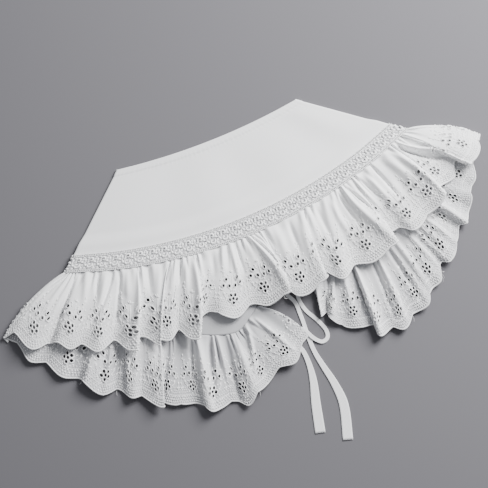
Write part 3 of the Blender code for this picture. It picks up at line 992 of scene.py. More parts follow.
@dataclass
class Repeat:
    """One repeat of the broderie anglaise, laid out flat.

    x runs along the hem from the middle of the scallop's lobe, and y up from the lobe's lowest point.
    """

    width: float = 42.0
    scallop_depth: float = 3.4
    scallop_sharpness: float = 0.85
    hole_radius: float = 1.7
    hole_sides: int = 12
    spare_ring: float = 0.9
    rim_ring: float = 0.75
    petals: int = 5
    petal_reach: float = 4.7
    flower_ring: float = 8.0
    flower_rays: int = 10
    trefoil_aside: float = 8.2
    trefoil_height: float = 38.0
    trefoil_ring: float = 7.6
    trefoil_rays: tuple = (-50, -10, 30, 70)
    grid_step: float = 1.5
    upper_rows: int = 18
    hole_clearance: float = 1.4
    hem_clearance: float = 0.7
    rim: Stitch = Stitch(1.4, 1.3)
    stem: Stitch = Stitch(0.95, 0.8)
    middle_stem: Stitch = Stitch(1.0, 0.8)
    ray_length: float = 2.8
    ray_width: float = 1.9
    sprig_stretch: float = 1.15
    sprig_width: float = 2.0
    middle_sprig_width: float = 1.7
    seed_pitch: float = 3.0
    seed_end: float = 19.5
    seed_follow: float = 0.6
    seed_length: float = 1.8
    seed_width: float = 1.4
    seed_lean: float = 60
    flower_room: float = 10
    edge: Stitch = Stitch(1.8, 1.1)
    edge_rise: float = 0.6
    edge_bump: float = 0.22
    edge_steps: int = 57
    upper_line: Stitch = Stitch(1.0, 0.8)
    upper_line_rise: float = 11.0
    upper_line_follow: float = 0.65
    bars: int = 14
    bar_pitch: float = 3.0
    bar: Stitch = Stitch(1.7, 1.15)
    bar_stray: Stitch = Stitch(0.4, 0.2)
    bar_length: float = 2.5
    bar_middle: float = 1.3

    def hem(self, x: np.ndarray) -> np.ndarray:
        """Height of the scalloped edge."""
        return self.scallop_depth * (1.0 - np.abs(np.cos(math.pi * x / self.width)) ** self.scallop_sharpness)

    def eyelets(self) -> list[tuple[float, float]]:
        """The middles of the holes: a flower with its eye, and two trefoils above it.

        Returns:
            Their places along and up.
        """
        places = [(0.0, FLOWER_HEIGHT)]
        for petal in range(self.petals):
            places.append(towards(0.0, FLOWER_HEIGHT, 72 * petal - 90, self.petal_reach))
        for side in (-1, 1):
            for hole in range(3):
                aside = side * self.trefoil_aside
                places.append(towards(aside, self.trefoil_height, 120 * hole + 90, self.petal_reach))
        return places

    def outline(self, middles: np.ndarray) -> Outline:
        """The scalloped edge, the holes' edges, and places spread over the cloth between them.

        Args:
            middles: The middles of the holes.

        Returns:
            The outline.
        """
        outline = Outline()
        half = self.width / 2
        columns = np.linspace(-half, half, round(self.width / self.grid_step) + 1)
        outline.chain(np.column_stack((columns, self.hem(columns))))
        for x, y in middles:
            outline.chain(circle(x, y, self.hole_radius, self.hole_sides), closed=True)
            ring = circle(x, y, self.hole_radius + self.spare_ring, self.hole_sides)
            outline.places.extend(map(tuple, ring))
        worked = np.arange(self.grid_step, EMBROIDERED, self.grid_step)
        plain = np.linspace(EMBROIDERED, STRIP_DEPTH, self.upper_rows)
        for index, y in enumerate(np.concatenate((worked, plain))):
            shift = 0.0 if index % 2 else self.grid_step / 2
            for x in columns + shift:
                if shift and abs(x) > half - ON_BORDER:
                    continue
                nearest = np.linalg.norm(middles - (x, y), axis=1).min()
                clear = nearest > self.hole_radius + self.hole_clearance
                if clear and abs(x) <= half and y > self.hem(np.array(x)) + self.hem_clearance:
                    outline.places.append((x, y))
            if shift and y > self.scallop_depth + self.hem_clearance:
                outline.places.extend(((-half, y), (half, y)))
        return outline

    def cloth(self) -> Patch:
        """The cloth with its holes, as triangles.

        Returns:
            The flat cloth.
        """
        middles = np.array(self.eyelets())
        outline = self.outline(middles)
        places = [Vector(place) for place in outline.places]
        found, _, triangles, *_ = delaunay_2d_cdt(places, outline.edges, [], 0, SAME_PLACE)
        flat = np.array([tuple(place) for place in found])
        kept = []
        for triangle in triangles:
            x, y = flat[list(triangle)].mean(axis=0)
            in_hole = np.linalg.norm(middles - (x, y), axis=1).min() < self.hole_radius * HOLE_SHARE
            if not in_hole and y > self.hem(np.array(x)) - EDGE_SLACK:
                kept.append(tuple(triangle))
        patch = Patch()
        patch.add(np.column_stack((flat, np.zeros(len(flat)))), kept)
        return patch

    def embroidery(self) -> Patch:
        """The raised stitches: rims, stems, leaves, seeds, and the worked edge.

        Returns:
            The stitches on the flat cloth.
        """
        patch = Patch()
        for x, y in self.eyelets():
            ring = circle(x, y, self.hole_radius + self.rim_ring, self.hole_sides)
            patch.add(*stroke(ring, *self.rim, closed=True))
        self.add_rays(patch)
        self.add_sprays(patch)
        self.add_seeds(patch)
        self.add_edge(patch)
        return patch

    def add_rays(self, patch: Patch) -> None:
        """Adds the short leaves round the flower and round the outer side of each trefoil.

        Args:
            patch: What they are added to.
        """
        for ray in range(self.flower_rays):
            degrees = 36 * ray - 72
            x, y = towards(0.0, FLOWER_HEIGHT, degrees, self.flower_ring)
            patch.add(*leaf(x, y, degrees, self.ray_length, self.ray_width))
        for side in (-1, 1):
            for lean in self.trefoil_rays:
                degrees = lean if side > 0 else 180 - lean
                x, y = towards(side * self.trefoil_aside, self.trefoil_height, degrees, self.trefoil_ring)
                patch.add(*leaf(x, y, degrees, self.ray_length, self.ray_width))

    def add_sprays(self, patch: Patch) -> None:
        """Adds the stems and leaves round the flower, between and above the trefoils, and in the notches.

        Args:
            patch: What they are added to.
        """
        patch.add(*stroke(bent(*MIDDLE_STEM), *self.middle_stem))
        for sprig in MIDDLE_SPRIGS:
            patch.add(*leaf(*sprig, self.middle_sprig_width))
        for side in (-1, 1):
            for stem in STEMS:
                path = bent(*((side * x, y) for x, y in stem))
                patch.add(*stroke(path, *self.stem))
            for sprig in SPRIGS:
                degrees = sprig.degrees if side > 0 else 180 - sprig.degrees
                length = sprig.length * self.sprig_stretch
                patch.add(*leaf(side * sprig.x, sprig.y, degrees, length, self.sprig_width))

    def add_seeds(self, patch: Patch) -> None:
        """Adds the rows of seeds above the edge, the upper ones only beside the flower.

        Args:
            patch: What they are added to.
        """
        size = (self.seed_lean, self.seed_length, self.seed_width)
        for x in np.arange(-self.seed_end, self.seed_end + 1.0, self.seed_pitch):
            foot = float(self.hem(np.array(x))) * self.seed_follow
            for row in SEED_ROWS:
                if row is SEED_ROWS[0] or abs(x) > self.flower_room:
                    patch.add(*leaf(x + row.shift, foot + row.rise, *size))

    def add_edge(self, patch: Patch) -> None:
        """Adds the corded scallop, the rows of bars above it, and the line that closes them.

        Args:
            patch: What they are added to.
        """
        half = self.width / 2
        x = np.linspace(-half, half, self.edge_steps)
        bumps = self.edge_bump * (-1.0) ** np.arange(len(x))
        corded = np.column_stack((x, self.hem(x) + self.edge_rise + bumps))
        patch.add(*stroke(corded, *self.edge, taper=1.0))
        upper = np.column_stack((x[::2], self.hem(x[::2]) * self.upper_line_follow + self.upper_line_rise))
        patch.add(*stroke(upper, *self.upper_line, taper=1.0))
        for bar in range(self.bars):
            for low, shift in BAR_ROWS:
                stray = math.sin(37.0 * bar + 11.0 * low)
                start = -half + self.bar_pitch / 2 + self.bar_pitch * bar + shift + 0.5 * stray
                foot = float(self.hem(np.array(min(start, half)))) * (1 - low / 30) + low
                tip = start + 0.7 * math.sin(23.0 * bar + 5.0 * low)
                middle = ((start + tip) / 2, foot + self.bar_middle)
                path = np.array([(start, foot), middle, (tip, foot + self.bar_length)])
                width = self.bar.width + self.bar_stray.width * stray
                height = self.bar.height + self.bar_stray.height * stray
                patch.add(*stroke(path, width, height, taper=0.5))


def make_object(name: str, points: np.ndarray, faces: list, material: bpy.types.Material) -> bpy.types.Object:
    """A smooth-shaded mesh object from points in millimetres.

    Args:
        name: The piece's name.
        points: Its points, measured from the middle of the neck line.
        faces: Its faces.
        material: Its finish.

    Returns:
        The object, in the scene.
    """
    mesh = bpy.data.meshes.new(name)
    mesh.from_pydata(((points - ORIGIN) * MM).tolist(), [], faces)
    mesh.materials.append(material)
    mesh.shade_smooth()
    mesh.validate()
    piece = bpy.data.objects.new(name, mesh)
    bpy.context.scene.collection.objects.link(piece)
    LOG.info("%s: %d points, %d faces", name, len(points), len(faces))
    return piece


def mark_places(piece: bpy.types.Object, places: np.ndarray) -> None:
    """Keeps each point's place on the flat strip, in metres, as the piece's UV map.

    Args:
        piece: The piece.
        places: Its points' places along and up, in millimetres.
    """
    mesh = piece.data
    layer = mesh.uv_layers.new(name="UVMap")
    corners = np.empty(len(mesh.loops), dtype=int)
    mesh.loops.foreach_get("vertex_index", corners)
    layer.data.foreach_set("uv", (places[corners, :2] * MM).ravel())


def add_wall(piece: bpy.types.Object, thickness: float) -> None:
    """Gives a cloth its thickness, half of it on each side.

    Args:
        piece: The cloth's middle surface.
        thickness: How thick the cloth is.
    """
    wall = piece.modifiers.new("Cloth", "SOLIDIFY")
    wall.thickness = thickness * MM
    wall.offset = 0.0


def settle(piece: bpy.types.Object, slot: str, *nodes: str) -> bpy.types.Object:
    """Makes a piece ride on the collar's one body, in place of CAD nodes, whose parts it hides.

    Args:
        piece: The piece.
        slot: Not used.
        *nodes: The CAD nodes that it replaces.

    Returns:
        The same piece.
    """
    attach(piece, "root")
    if nodes:
        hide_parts(*nodes)
    return piece


def grid_faces(columns: int, rows: int) -> list:
    """Faces between points that run down one column after another.

    Args:
        columns: How many columns there are.
        rows: How many points each column has.

    Returns:
        The faces.
    """
    faces = []
    for column in range(columns - 1):
        for row in range(rows - 1):
            corner = column * rows + row
            faces.append((corner, corner + 1, corner + rows + 1, corner + rows))
    return faces


@dataclass
class Yoke:
    """A plain cotton panel with a stitched hem at the neck."""

    name: str
    node: str
    form: YokeForm
    cloth: bpy.types.Material
    thread: bpy.types.Material
    columns: int
    hem_width: float = 8.5
    hem_rise: float = 0.5
    hem_rows: int = 16
    lower_rows: int = 60
    stitch_row: float = 0.9
    groove_depth: float = 0.3
    groove_width: float = 0.7
    pucker: float = 0.07
    pucker_length: float = 4.6
    pucker_reach: float = 4.0
    stitch: Stitch = Stitch(0.55, 0.35)
    stitch_length: float = 2.4
    stitch_pitch: float = 3.3
    stitch_sink: float = 0.05
    folded_share: float = 0.022
    wall: float = 0.7

    def places(self) -> np.ndarray:
        """Shares across the panel for its columns, closer together round the shoulder folds.

        Returns:
            The shares, past 0 and 1 where the panel is folded.
        """
        inside = np.linspace(0.0, 1.0, self.columns)
        if not self.form.folded:
            return inside
        past = np.linspace(0.0, self.folded_share, 14)[1:]
        return np.concatenate((-past[::-1], inside, 1.0 + past))

    def relief(self, across: np.ndarray, depth: np.ndarray) -> np.ndarray:
        """How the turned hem, the groove of its stitches and their puckers lift the cloth.

        Args:
            across: Shares across the panel.
            depth: Distances down from the neck edge.

        Returns:
            The lift at each place.
        """
        past_hem = depth - self.hem_width
        turned = self.hem_rise * smoothstep(0.0, 1.0, self.hem_width - depth)
        groove = -self.groove_depth * np.exp(-(((past_hem + self.stitch_row) / self.groove_width) ** 2))
        turn = 2 * math.pi * across * self.form.neck.length / self.pucker_length
        near = np.exp(-(((past_hem + 1) / self.pucker_reach) ** 2))
        ripple = np.sin(turn + 1.3 * np.sin(across * 37)) * near
        return turned + groove + self.pucker * ripple

    def build(self) -> list[bpy.types.Object]:
        """Makes the panel and its hem stitches.

        Returns:
            The two pieces.
        """
        near_hem = self.hem_width / YOKE_DEPTH * 1.6
        upper = np.linspace(0, near_hem, self.hem_rows)
        shares = np.concatenate((upper, np.linspace(near_hem, 1.0, self.lower_rows)[1:]))
        columns = self.places()
        across, down = (part.ravel() for part in np.meshgrid(columns, shares, indexing="ij"))
        points = self.form.place(across, down, self.relief(across, down * YOKE_DEPTH))
        piece = make_object(self.name, points, grid_faces(len(columns), len(shares)), self.cloth)
        add_wall(piece, self.wall)
        settle(piece, "white_cotton", self.node)
        return [piece, self.build_stitches()]

    def build_stitches(self) -> bpy.types.Object:
        """Makes the row of machine stitches that holds the neck hem.

        Returns:
            The stitches, as one piece.
        """
        patch = Patch()
        length = self.form.neck.length
        for start in np.arange(1.0, length - 3.0, self.stitch_pitch):
            steps = (0.0, self.stitch_length / 2, self.stitch_length)
            path = np.array([(start + step, 0.0) for step in steps])
            patch.add(*stroke(path, *self.stitch, taper=0.5))
        x, y, lift = patch.array().T
        down = (self.hem_width - self.stitch_row + y) / YOKE_DEPTH
        points = self.form.place(x / length, down, lift + self.wall / 2 - self.stitch_sink)
        piece = make_object(f"{self.name}_stitches", points, patch.faces, self.thread)
        return settle(piece, "white_cotton")


# The scroll's middle line: how far along and above the scroll's own middle each place lies
SCROLL_LINE = [(-3.2, 1.2), (-2.4, 4.6), (0.6, 5.4), (2.2, 3.2), (0.9, 1.6), (-0.4, 2.6)]


@dataclass
class Braid:
    """The embroidered braid over the seam: a net ground, two corded edges, and flowers between scrolls."""

    name: str
    node: str
    form: YokeForm
    cloth: bpy.types.Material
    thread: bpy.types.Material
    span: tuple[float, float]
    width: float = 21.5
    repeat: float = 14.2
    ground_lift: float = 0.85
    ground_wall: float = 0.45
    ground_step: float = 3.0
    ground_rows: int = 8
    margin: float = 0.3
    edge_width: float = 2.6
    cord: Stitch = Stitch(1.0, 1.0)
    cord_ripple: float = 0.15
    bar: Stitch = Stitch(0.8, 1.0)
    bar_pitch: float = 2.03
    bar_lift: float = 0.25
    petals: int = 5
    petal_start: float = 1.2
    petal_length: float = 4.2
    petal_width: float = 2.9
    eye: Stitch = Stitch(1.0, 1.3)
    eye_radius: float = 0.8
    scroll: Stitch = Stitch(2.4, 0.9)
    leaf_length: float = 3.8
    leaf_width: float = 2.4
    raised: float = 0.3
    eye_lift: float = 0.6
    scroll_lift: float = 0.9

    def place(self, flat: np.ndarray) -> np.ndarray:
        """Carries flat places onto the yoke.

        Args:
            flat: Places along the seam, up from it, and off the cloth.

        Returns:
            The points.
        """
        x, y, lift = flat.T
        across = x / self.form.seam.length
        down = 1.0 - y / self.form.depth(np.clip(across, 0.0, 1.0))
        return self.form.place(across, down, lift + self.ground_lift)

    def add_leaf(self, patch: Patch, x: float, y: float, degrees: float, length: float, width: float) -> None:
        """Adds a leaf that stands a little off the ground.

        Args:
            patch: What it is added to.
            x: Where it starts, along the seam.
            y: Where it starts, up from the seam.
            degrees: The way it points.
            length: How long it is.
            width: How wide it is in the middle.
        """
        points, faces = leaf(x, y, degrees, length, width)
        patch.add(points + (0.0, 0.0, self.raised), faces)

    def add_edges(self, patch: Patch) -> None:
        """Adds the cords along both edges and the bars between them.

        Args:
            patch: What they are added to.
        """
        across = np.linspace(0.0, self.repeat, 9)
        ripple = self.cord_ripple * np.sin(across * 2 * math.pi / self.repeat * 3)
        upper = (self.width - self.edge_width, self.width - self.margin)
        for y in (self.margin, self.edge_width, *upper):
            path = np.column_stack((across, y + ripple))
            patch.add(*stroke(path, *self.cord, taper=1.0, lift=self.raised))
        for step in np.arange(0.6, self.repeat, self.bar_pitch):
            for low in (0.5, self.width - 2.5):
                path = np.array([(step, low), (step + 0.1, low + 1.0), (step, low + 2.0)])
                patch.add(*stroke(path, *self.bar, taper=0.8, lift=self.bar_lift))

    def motif(self) -> Patch:
        """One repeat of the worked pattern, from x = 0 to the repeat's width.

        Returns:
            The stitches on the flat ground.
        """
        patch = Patch()
        self.add_edges(patch)
        middle = self.width / 2
        flower, scroll = self.repeat * 0.25, self.repeat * 0.72
        for petal in range(self.petals):
            degrees = 72 * petal + 90
            x, y = towards(flower, middle, degrees, self.petal_start)
            self.add_leaf(patch, x, y, degrees, self.petal_length, self.petal_width)
        eye = circle(flower, middle, self.eye_radius, 8)
        patch.add(*stroke(eye, *self.eye, closed=True, lift=self.eye_lift))
        for side in (-1, 1):
            curl = [(scroll + side * x, middle + side * y) for x, y in SCROLL_LINE]
            path = Curve(curl, 2).at(np.linspace(0, 1, 14))
            patch.add(*stroke(path, *self.scroll, taper=0.6, lift=self.scroll_lift))
            for x, y, degrees in (
                (flower + 0.6, middle + side * 6.0, 8 * side),
                (flower - 0.6, middle + side * 6.0, 180 - 8 * side),
                (scroll + 3.4, middle + side * 2.4, 60 * side),
            ):
                self.add_leaf(patch, x, y, degrees, self.leaf_length, self.leaf_width)
        return patch

    def build(self) -> list[bpy.types.Object]:
        """Makes the ground and the worked pattern.

        Returns:
            The two pieces.
        """
        low, high = (share * self.form.seam.length for share in self.span)
        columns = np.linspace(low, high, round((high - low) / self.ground_step) + 1)
        rows = np.linspace(-self.margin, self.width, self.ground_rows)
        x, y = (part.ravel() for part in np.meshgrid(columns, rows, indexing="ij"))
        faces = [tuple(reversed(face)) for face in grid_faces(len(columns), len(rows))]
        points = self.place(np.column_stack((x, y, x * 0)))
        # The ground's grey finish is painted shade between the stitches.
        ground = make_object(self.name, points, faces, self.cloth)
        add_wall(ground, self.ground_wall)
        settle(ground, "embroidered_lace", self.node)
        motif = self.motif()
        count = round((high - low) / self.repeat)
        pitch = (high - low) / count
        flat = motif.array()
        along = [low + (copy + flat[:, 0] / self.repeat) * pitch for copy in range(count)]
        points = self.place(copied_along(flat, along))
        worked = make_object(f"{self.name}_work", points, motif.repeated(count), self.thread)
        settle(worked, "embroidered_lace")
        return [ground, worked]


@dataclass
class Ruffle:
    """A stretch of the gathered broderie anglaise strip."""

    name: str
    node: str
    form: RuffleForm
    lobes: list[float]
    cloth: bpy.types.Material
    thread: bpy.types.Material
    repeat: Repeat
    wisps: list[Wisp]
    wisp_thread: Stitch = Stitch(0.32, 0.16)
    wisp_start: float = 2.0
    wall: float = 0.45
    overlap: float = 10.0

    def strip_places(self, flat: np.ndarray) -> np.ndarray:
        """Copies one repeat's flat places along the strip, a copy for each scallop.

        Args:
            flat: The repeat's places.

        Returns:
            The strip's places, repeat by repeat.
        """
        order = np.arange(len(self.lobes))
        rows = []
        for lobe in order:
            steps = lobe + flat[:, 0] / self.repeat.width
            ends = np.clip(steps, 0, order[-1])
            rows.append(np.interp(ends, order, self.lobes) + (steps - ends) * self.repeat.width)
        return copied_along(flat, rows)

    def trimmed(self, places: np.ndarray, faces: list) -> tuple[np.ndarray, list]:
        """Cuts the strip off at its ends, by moving what lies past them onto the end.

        Args:
            places: The strip's places.
            faces: The faces between them.

        Returns:
            The places and faces that are left.
        """
        past = self.overlap if self.form.folded else 0.0
        low, high = -past, self.form.hem.length + past
        hidden = ((places[:, 0] < low) | (places[:, 0] > high)).tolist()
        faces = [face for face in faces if not all(hidden[index] for index in face)]
        used = sorted({index for face in faces for index in face})
        order = {old: new for new, old in enumerate(used)}
        kept = places[used]
        kept[:, 0] = np.clip(kept[:, 0], low, high)
        return kept, [tuple(order[index] for index in face) for face in faces]

    def build(self) -> list[bpy.types.Object]:
        """Makes the cloth with its holes, the stitches on it, and the loose threads.

        Returns:
            The three pieces.
        """
        pieces = []
        for suffix, patch, material in (
            ("", self.repeat.cloth(), self.cloth),
            ("_embroidery", self.repeat.embroidery(), self.thread),
        ):
            places = self.strip_places(patch.array())
            places, faces = self.trimmed(places, patch.repeated(len(self.lobes)))
            pieces.append(make_object(self.name + suffix, self.form.place(*places.T), faces, material))
            mark_places(pieces[-1], places)
        cloth, stitches = pieces
        pieces.append(self.build_wisps())
        weld(cloth)
        add_wall(cloth, self.wall)
        settle(cloth, "white_cotton", self.node)
        settle(stitches, "white_cotton")
        return pieces

    def build_wisps(self) -> bpy.types.Object:
        """Makes the loose ends of thread.

        Returns:
            The threads, as one piece.
        """
        patch = Patch()
        for wisp in self.wisps:
            foot = (wisp.along, self.wisp_start)
            middle = (wisp.along - wisp.lean / 3, -wisp.length / 2)
            tip = (wisp.along + wisp.lean, -wisp.length)
            patch.add(*stroke(bent(foot, middle, tip), *self.wisp_thread))
        points = self.form.place(*patch.array().T)
        piece = make_object(f"{self.name}_loose_threads", points, patch.faces, self.thread)
        return settle(piece, "white_cotton")


WELD_REACH = 0.02


def weld(piece: bpy.types.Object) -> None:
    """Joins points that lie in the same place, such as those on the line between two repeats.

    Args:
        piece: The piece.
    """
    mesh = bmesh.new()
    mesh.from_mesh(piece.data)
    bmesh.ops.remove_doubles(mesh, verts=mesh.verts, dist=WELD_REACH * MM)
    mesh.to_mesh(piece.data)
    mesh.free()


# The tape's cross-section from one edge to the other: shares of its half width and half thickness
TAPE_TOP = [(1.0, 0.0), (0.93, 0.9), (0.7, 0.75), (0.3, 0.7), (-0.3, 0.7), (-0.7, 0.75), (-0.93, 0.9)]
TAPE_RING = TAPE_TOP + [(-1.0, 0.0)] + [(x, -z) for x, z in reversed(TAPE_TOP[1:])]


@dataclass
class Tie:
    """A flat cotton tape, doubled lengthwise where it is narrow."""

    name: str
    node: str
    points: list[TapePoint]
    material: bpy.types.Material
    step: float = 2.5
    thickness: float = 0.8

    def faces(self, steps: int) -> list:
        """The faces of a closed tube with the tape's cross-section.

        Args:
            steps: How many steps it has along its length.

        Returns:
            The faces.
        """
        count = len(TAPE_RING)
        faces = []
        for index in range(steps):
            for side in range(count):
                beside = (side + 1) % count
                here, ahead = index * count, (index + 1) * count
                faces.append((here + side, here + beside, ahead + beside, ahead + side))
        faces.append(tuple(reversed(range(count))))
        faces.append(tuple(range(steps * count, (steps + 1) * count)))
        return faces

    def build(self) -> bpy.types.Object:
        """Returns:
            The tape.
        """
        line = Curve(self.points, 2)
        steps = round(line.length / self.step)
        share = np.linspace(0.0, 1.0, steps + 1)
        rows = line.at(share)
        heading = line.at(share + 0.5 / steps)[:, :2] - line.at(share - 0.5 / steps)[:, :2]
        heading /= np.linalg.norm(heading, axis=1)[:, None]
        aside = np.column_stack((-heading[:, 1], heading[:, 0], np.zeros(len(rows))))
        points = []
        for place, width, side in zip(rows[:, :3], rows[:, 3], aside):
            for x, z in TAPE_RING:
                points.append(place + side * x * width / 2 + (0, 0, z * self.thickness / 2))
        piece = make_object(self.name, np.array(points), self.faces(steps), self.material)
        settle(piece, "cotton_tape", self.node)
        return piece


class Graph:
    """A short way to write a node tree."""

    def __init__(self, tree: bpy.types.NodeTree) -> None:
        """Takes the tree that the nodes go into."""
        self.tree = tree

    def node(self, kind: str, values: dict | None = None, **settings: object) -> bpy.types.Node:
        """Adds a node.

        Args:
            kind: Blender's name for the node's type.
            values: What goes into its sockets, by name or number: a value, or another node's socket.
            **settings: The node's own settings.

        Returns:
            The node.
        """
        made = self.tree.nodes.new(kind)
        for name, value in settings.items():
            setattr(made, name, value)
        for name, value in (values or {}).items():
            if isinstance(value, bpy.types.NodeSocket):
                self.tree.links.new(value, made.inputs[name])
            else:
                made.inputs[name].default_value = value
        return made

    def maths(self, operation: str, *values: object) -> bpy.types.NodeSocket:
        """Adds a step of arithmetic.

        Args:
            operation: Blender's name for what is done with them.
            *values: The numbers or sockets, in order.

        Returns:
            The result's socket.
        """
        return self.node("ShaderNodeMath", dict(enumerate(values)), operation=operation).outputs[0]

    def noise(self, place: bpy.types.NodeSocket, scale: object, detail: float) -> bpy.types.NodeSocket:
        """Adds a noise.

        Args:
            place: Where it is read.
            scale: How many patches it has to a metre: a number or a socket.
            detail: How fine it gets.

        Returns:
            Its strength's socket.
        """
        values = {"Vector": place, "Scale": scale, "Detail": detail}
        return self.node("ShaderNodeTexNoise", values).outputs["Fac"]

    def mix(self, kind: str, share: object, first: object, second: object) -> bpy.types.NodeSocket:
        """Adds a mix of two values.

        Args:
            kind: What is mixed: "FLOAT" or "RGBA".
            share: How much of the second is taken.
            first: The first value or socket.
            second: The second value or socket.

        Returns:
            The result's socket.
        """
        values = {"Factor": share, "A": first, "B": second}
        return self.node("ShaderNodeMix", values, data_type=kind).outputs["Result"]

    def coordinate(self, kind: str, axis: str) -> bpy.types.NodeSocket:
        """Adds one coordinate of each place, in metres.

        Args:
            kind: "Object", or "UV" for places on the flat strip.
            axis: "X", "Y" or "Z".

        Returns:
            The coordinate's socket.
        """
        place = self.node("ShaderNodeTexCoord").outputs[kind]
        return self.node("ShaderNodeSeparateXYZ", {0: place}).outputs[axis]


def new_group(name: str, inputs: dict[str, float], outputs: list[str]) -> tuple[bpy.types.NodeTree, Graph]:
    """An empty shader node group with number sockets.

    Args:
        name: The group's name.
        inputs: Names and default values of its inputs.
        outputs: Names of its outputs.

    Returns:
        The group and a graph to fill it with.
    """
    group = bpy.data.node_groups.new(name, "ShaderNodeTree")
    for label, value in inputs.items():
        socket = group.interface.new_socket(label, in_out="INPUT", socket_type="NodeSocketFloat")
        socket.default_value = value
    for label in outputs:
        group.interface.new_socket(label, in_out="OUTPUT", socket_type="NodeSocketFloat")
    return group, Graph(group)


# How fine the threads' unevenness and the cloth's grain are, in patches to a metre
SLUB_SCALE = 900.0
GRAIN_SCALE = 420.0


def weave_group() -> bpy.types.NodeTree:
    """Plain weave: threads that pass over and under each other, with uneven slubs.

    Returns:
        The group.
    """
    group, graph = new_group("PlainWeave", {"Threads per metre": 1500.0, "Slub": 0.4}, ["Height"])
    given = graph.node("NodeGroupInput")
    place = graph.node("ShaderNodeTexCoord").outputs["Object"]
    split = graph.node("ShaderNodeSeparateXYZ", {0: place})
    waves = []
    for axis in ("X", "Y"):
        angle = graph.maths("MULTIPLY", split.outputs[axis], given.outputs["Threads per metre"])
        waves.append(graph.maths("SINE", graph.maths("MULTIPLY", angle, math.pi)))
    crossed = graph.maths("MULTIPLY", *waves)
    slub = graph.maths("MULTIPLY", graph.noise(place, SLUB_SCALE, 2.0), given.outputs["Slub"])
    height = graph.maths("MULTIPLY_ADD", crossed, 0.5, slub)
    graph.node("NodeGroupOutput", {"Height": height})
    return group


def mottle_group() -> bpy.types.NodeTree:
    """A soft mask that varies slowly over the cloth, for uneven whiteness and wear.

    Returns:
        The group.
    """
    group, graph = new_group("SoftMottle", {"Patches per metre": 14.0, "Grain": 0.35}, ["Mask"])
    given = graph.node("NodeGroupInput")
    place = graph.node("ShaderNodeTexCoord").outputs["Object"]
    broad = graph.noise(place, given.outputs["Patches per metre"], 3.0)
    fine = graph.noise(place, GRAIN_SCALE, 3.0)
    graph.node("NodeGroupOutput", {"Mask": graph.mix("FLOAT", given.outputs["Grain"], broad, fine)})
    return group


@dataclass(frozen=True)
class ClothFinish:
    """A white cotton finish: plain weave, soft sheen, slightly uneven white.

    A ruffle's finish can also carry painted shade: greyer on the cloth between the embroidery's stitches
    towards the hem, and, in the lower layer's finish, greyer in the valleys where it lies close to the floor.
    Both spans are in
    metres: where that painted shade is full, and where it ends.
    """

    name: str
    bright: tuple[float, float, float]
    dull: tuple[float, float, float]
    roughness: float
    sheen: float
    threads: float
    slub: float
    relief: float
    grain: float
    # Painted shade on the cloth between the embroidery's stitches, fullest near the hem.
    hem_shade: float = 0.0
    hem_span: tuple[float, float] = (0.03, 0.056)
    # Painted shade where the cloth lies low, close to the floor.
    low_shade: float = 0.0
    low_span: tuple[float, float] = (0.002, 0.0085)
    shade_colour: tuple[float, float, float] = (0.3, 0.302, 0.32)
    mask_span: tuple[float, float] = (0.3, 0.7)
    roughness_stray: float = 0.06
    sheen_roughness: float = 0.5
    specular: float = 0.25
    thread_height: float = 0.0002

    def material(self, weave: bpy.types.NodeTree, mottle: bpy.types.NodeTree) -> bpy.types.Material:
        """Makes the material from the shared groups.

        Args:
            weave: The group that gives the threads' height.
            mottle: The group that gives the uneven mask.

        Returns:
            The material.
        """
        material = bpy.data.materials.new(self.name)
        material.use_nodes = True
        graph = Graph(material.node_tree)
        shader = material.node_tree.nodes["Principled BSDF"]
        mask = graph.node("ShaderNodeGroup", {"Grain": self.grain}, node_tree=mottle).outputs["Mask"]
        counts = {"Threads per metre": self.threads, "Slub": self.slub}
        threads = graph.node("ShaderNodeGroup", counts, node_tree=weave)
        rough = graph.node(
            "ShaderNodeMapRange",
            {
                "Value": mask,
                "To Min": self.roughness - self.roughness_stray,
                "To Max": self.roughness + self.roughness_stray,
            },
        )
        bump = graph.node(
            "ShaderNodeBump",
            {"Height": threads.outputs["Height"], "Distance": self.thread_height, "Strength": self.relief},
        )
        links = material.node_tree.links
        links.new(self.tint(graph, mask), shader.inputs["Base Color"])
        links.new(rough.outputs["Result"], shader.inputs["Roughness"])
        links.new(bump.outputs["Normal"], shader.inputs["Normal"])
        shader.inputs["Sheen Weight"].default_value = self.sheen
        shader.inputs["Sheen Roughness"].default_value = self.sheen_roughness
        shader.inputs["Specular IOR Level"].default_value = self.specular
        return material

    def tint(self, graph: Graph, mask: bpy.types.NodeSocket) -> bpy.types.NodeSocket:
        """The cloth's colour, uneven and shaded.

        Args:
            graph: The material's nodes.
            mask: The mask that mixes the dull and the bright white.

        Returns:
            The colour's socket.
        """
        low, high = self.mask_span
        spread = graph.node("ShaderNodeMapRange", {"Value": mask, "From Min": low, "From Max": high})
        tint = graph.mix("RGBA", spread.outputs["Result"], (*self.dull, 1.0), (*self.bright, 1.0))
        if self.hem_shade:
            tint = self.darkened(graph, tint, graph.coordinate("UV", "Y"), self.hem_span, self.hem_shade)
        if self.low_shade:
            tint = self.darkened(graph, tint, graph.coordinate("Object", "Z"), self.low_span, self.low_shade)
        return tint

    def darkened(
        self,
        graph: Graph,
        tint: bpy.types.NodeSocket,
        value: bpy.types.NodeSocket,
        span: tuple[float, float],
        share: float,
    ) -> bpy.types.NodeSocket:
        """Mixes the shade's colour into the tint, in full where the value is at the span's low end.

        Args:
            graph: The material's nodes.
            tint: The colour that is darkened.
            value: The place that decides, in metres.
            span: Where the shade is full and where it ends, in metres.
            share: How much of the shade is mixed in at most.

        Returns:
            The darkened colour's socket.
        """
        fade = graph.node(
            "ShaderNodeMapRange",
            {"Value": value, "From Min": span[0], "From Max": span[1], "To Min": share, "To Max": 0.0},
        )
        return graph.mix("RGBA", fade.outputs["Result"], tint, (*self.shade_colour, 1.0))


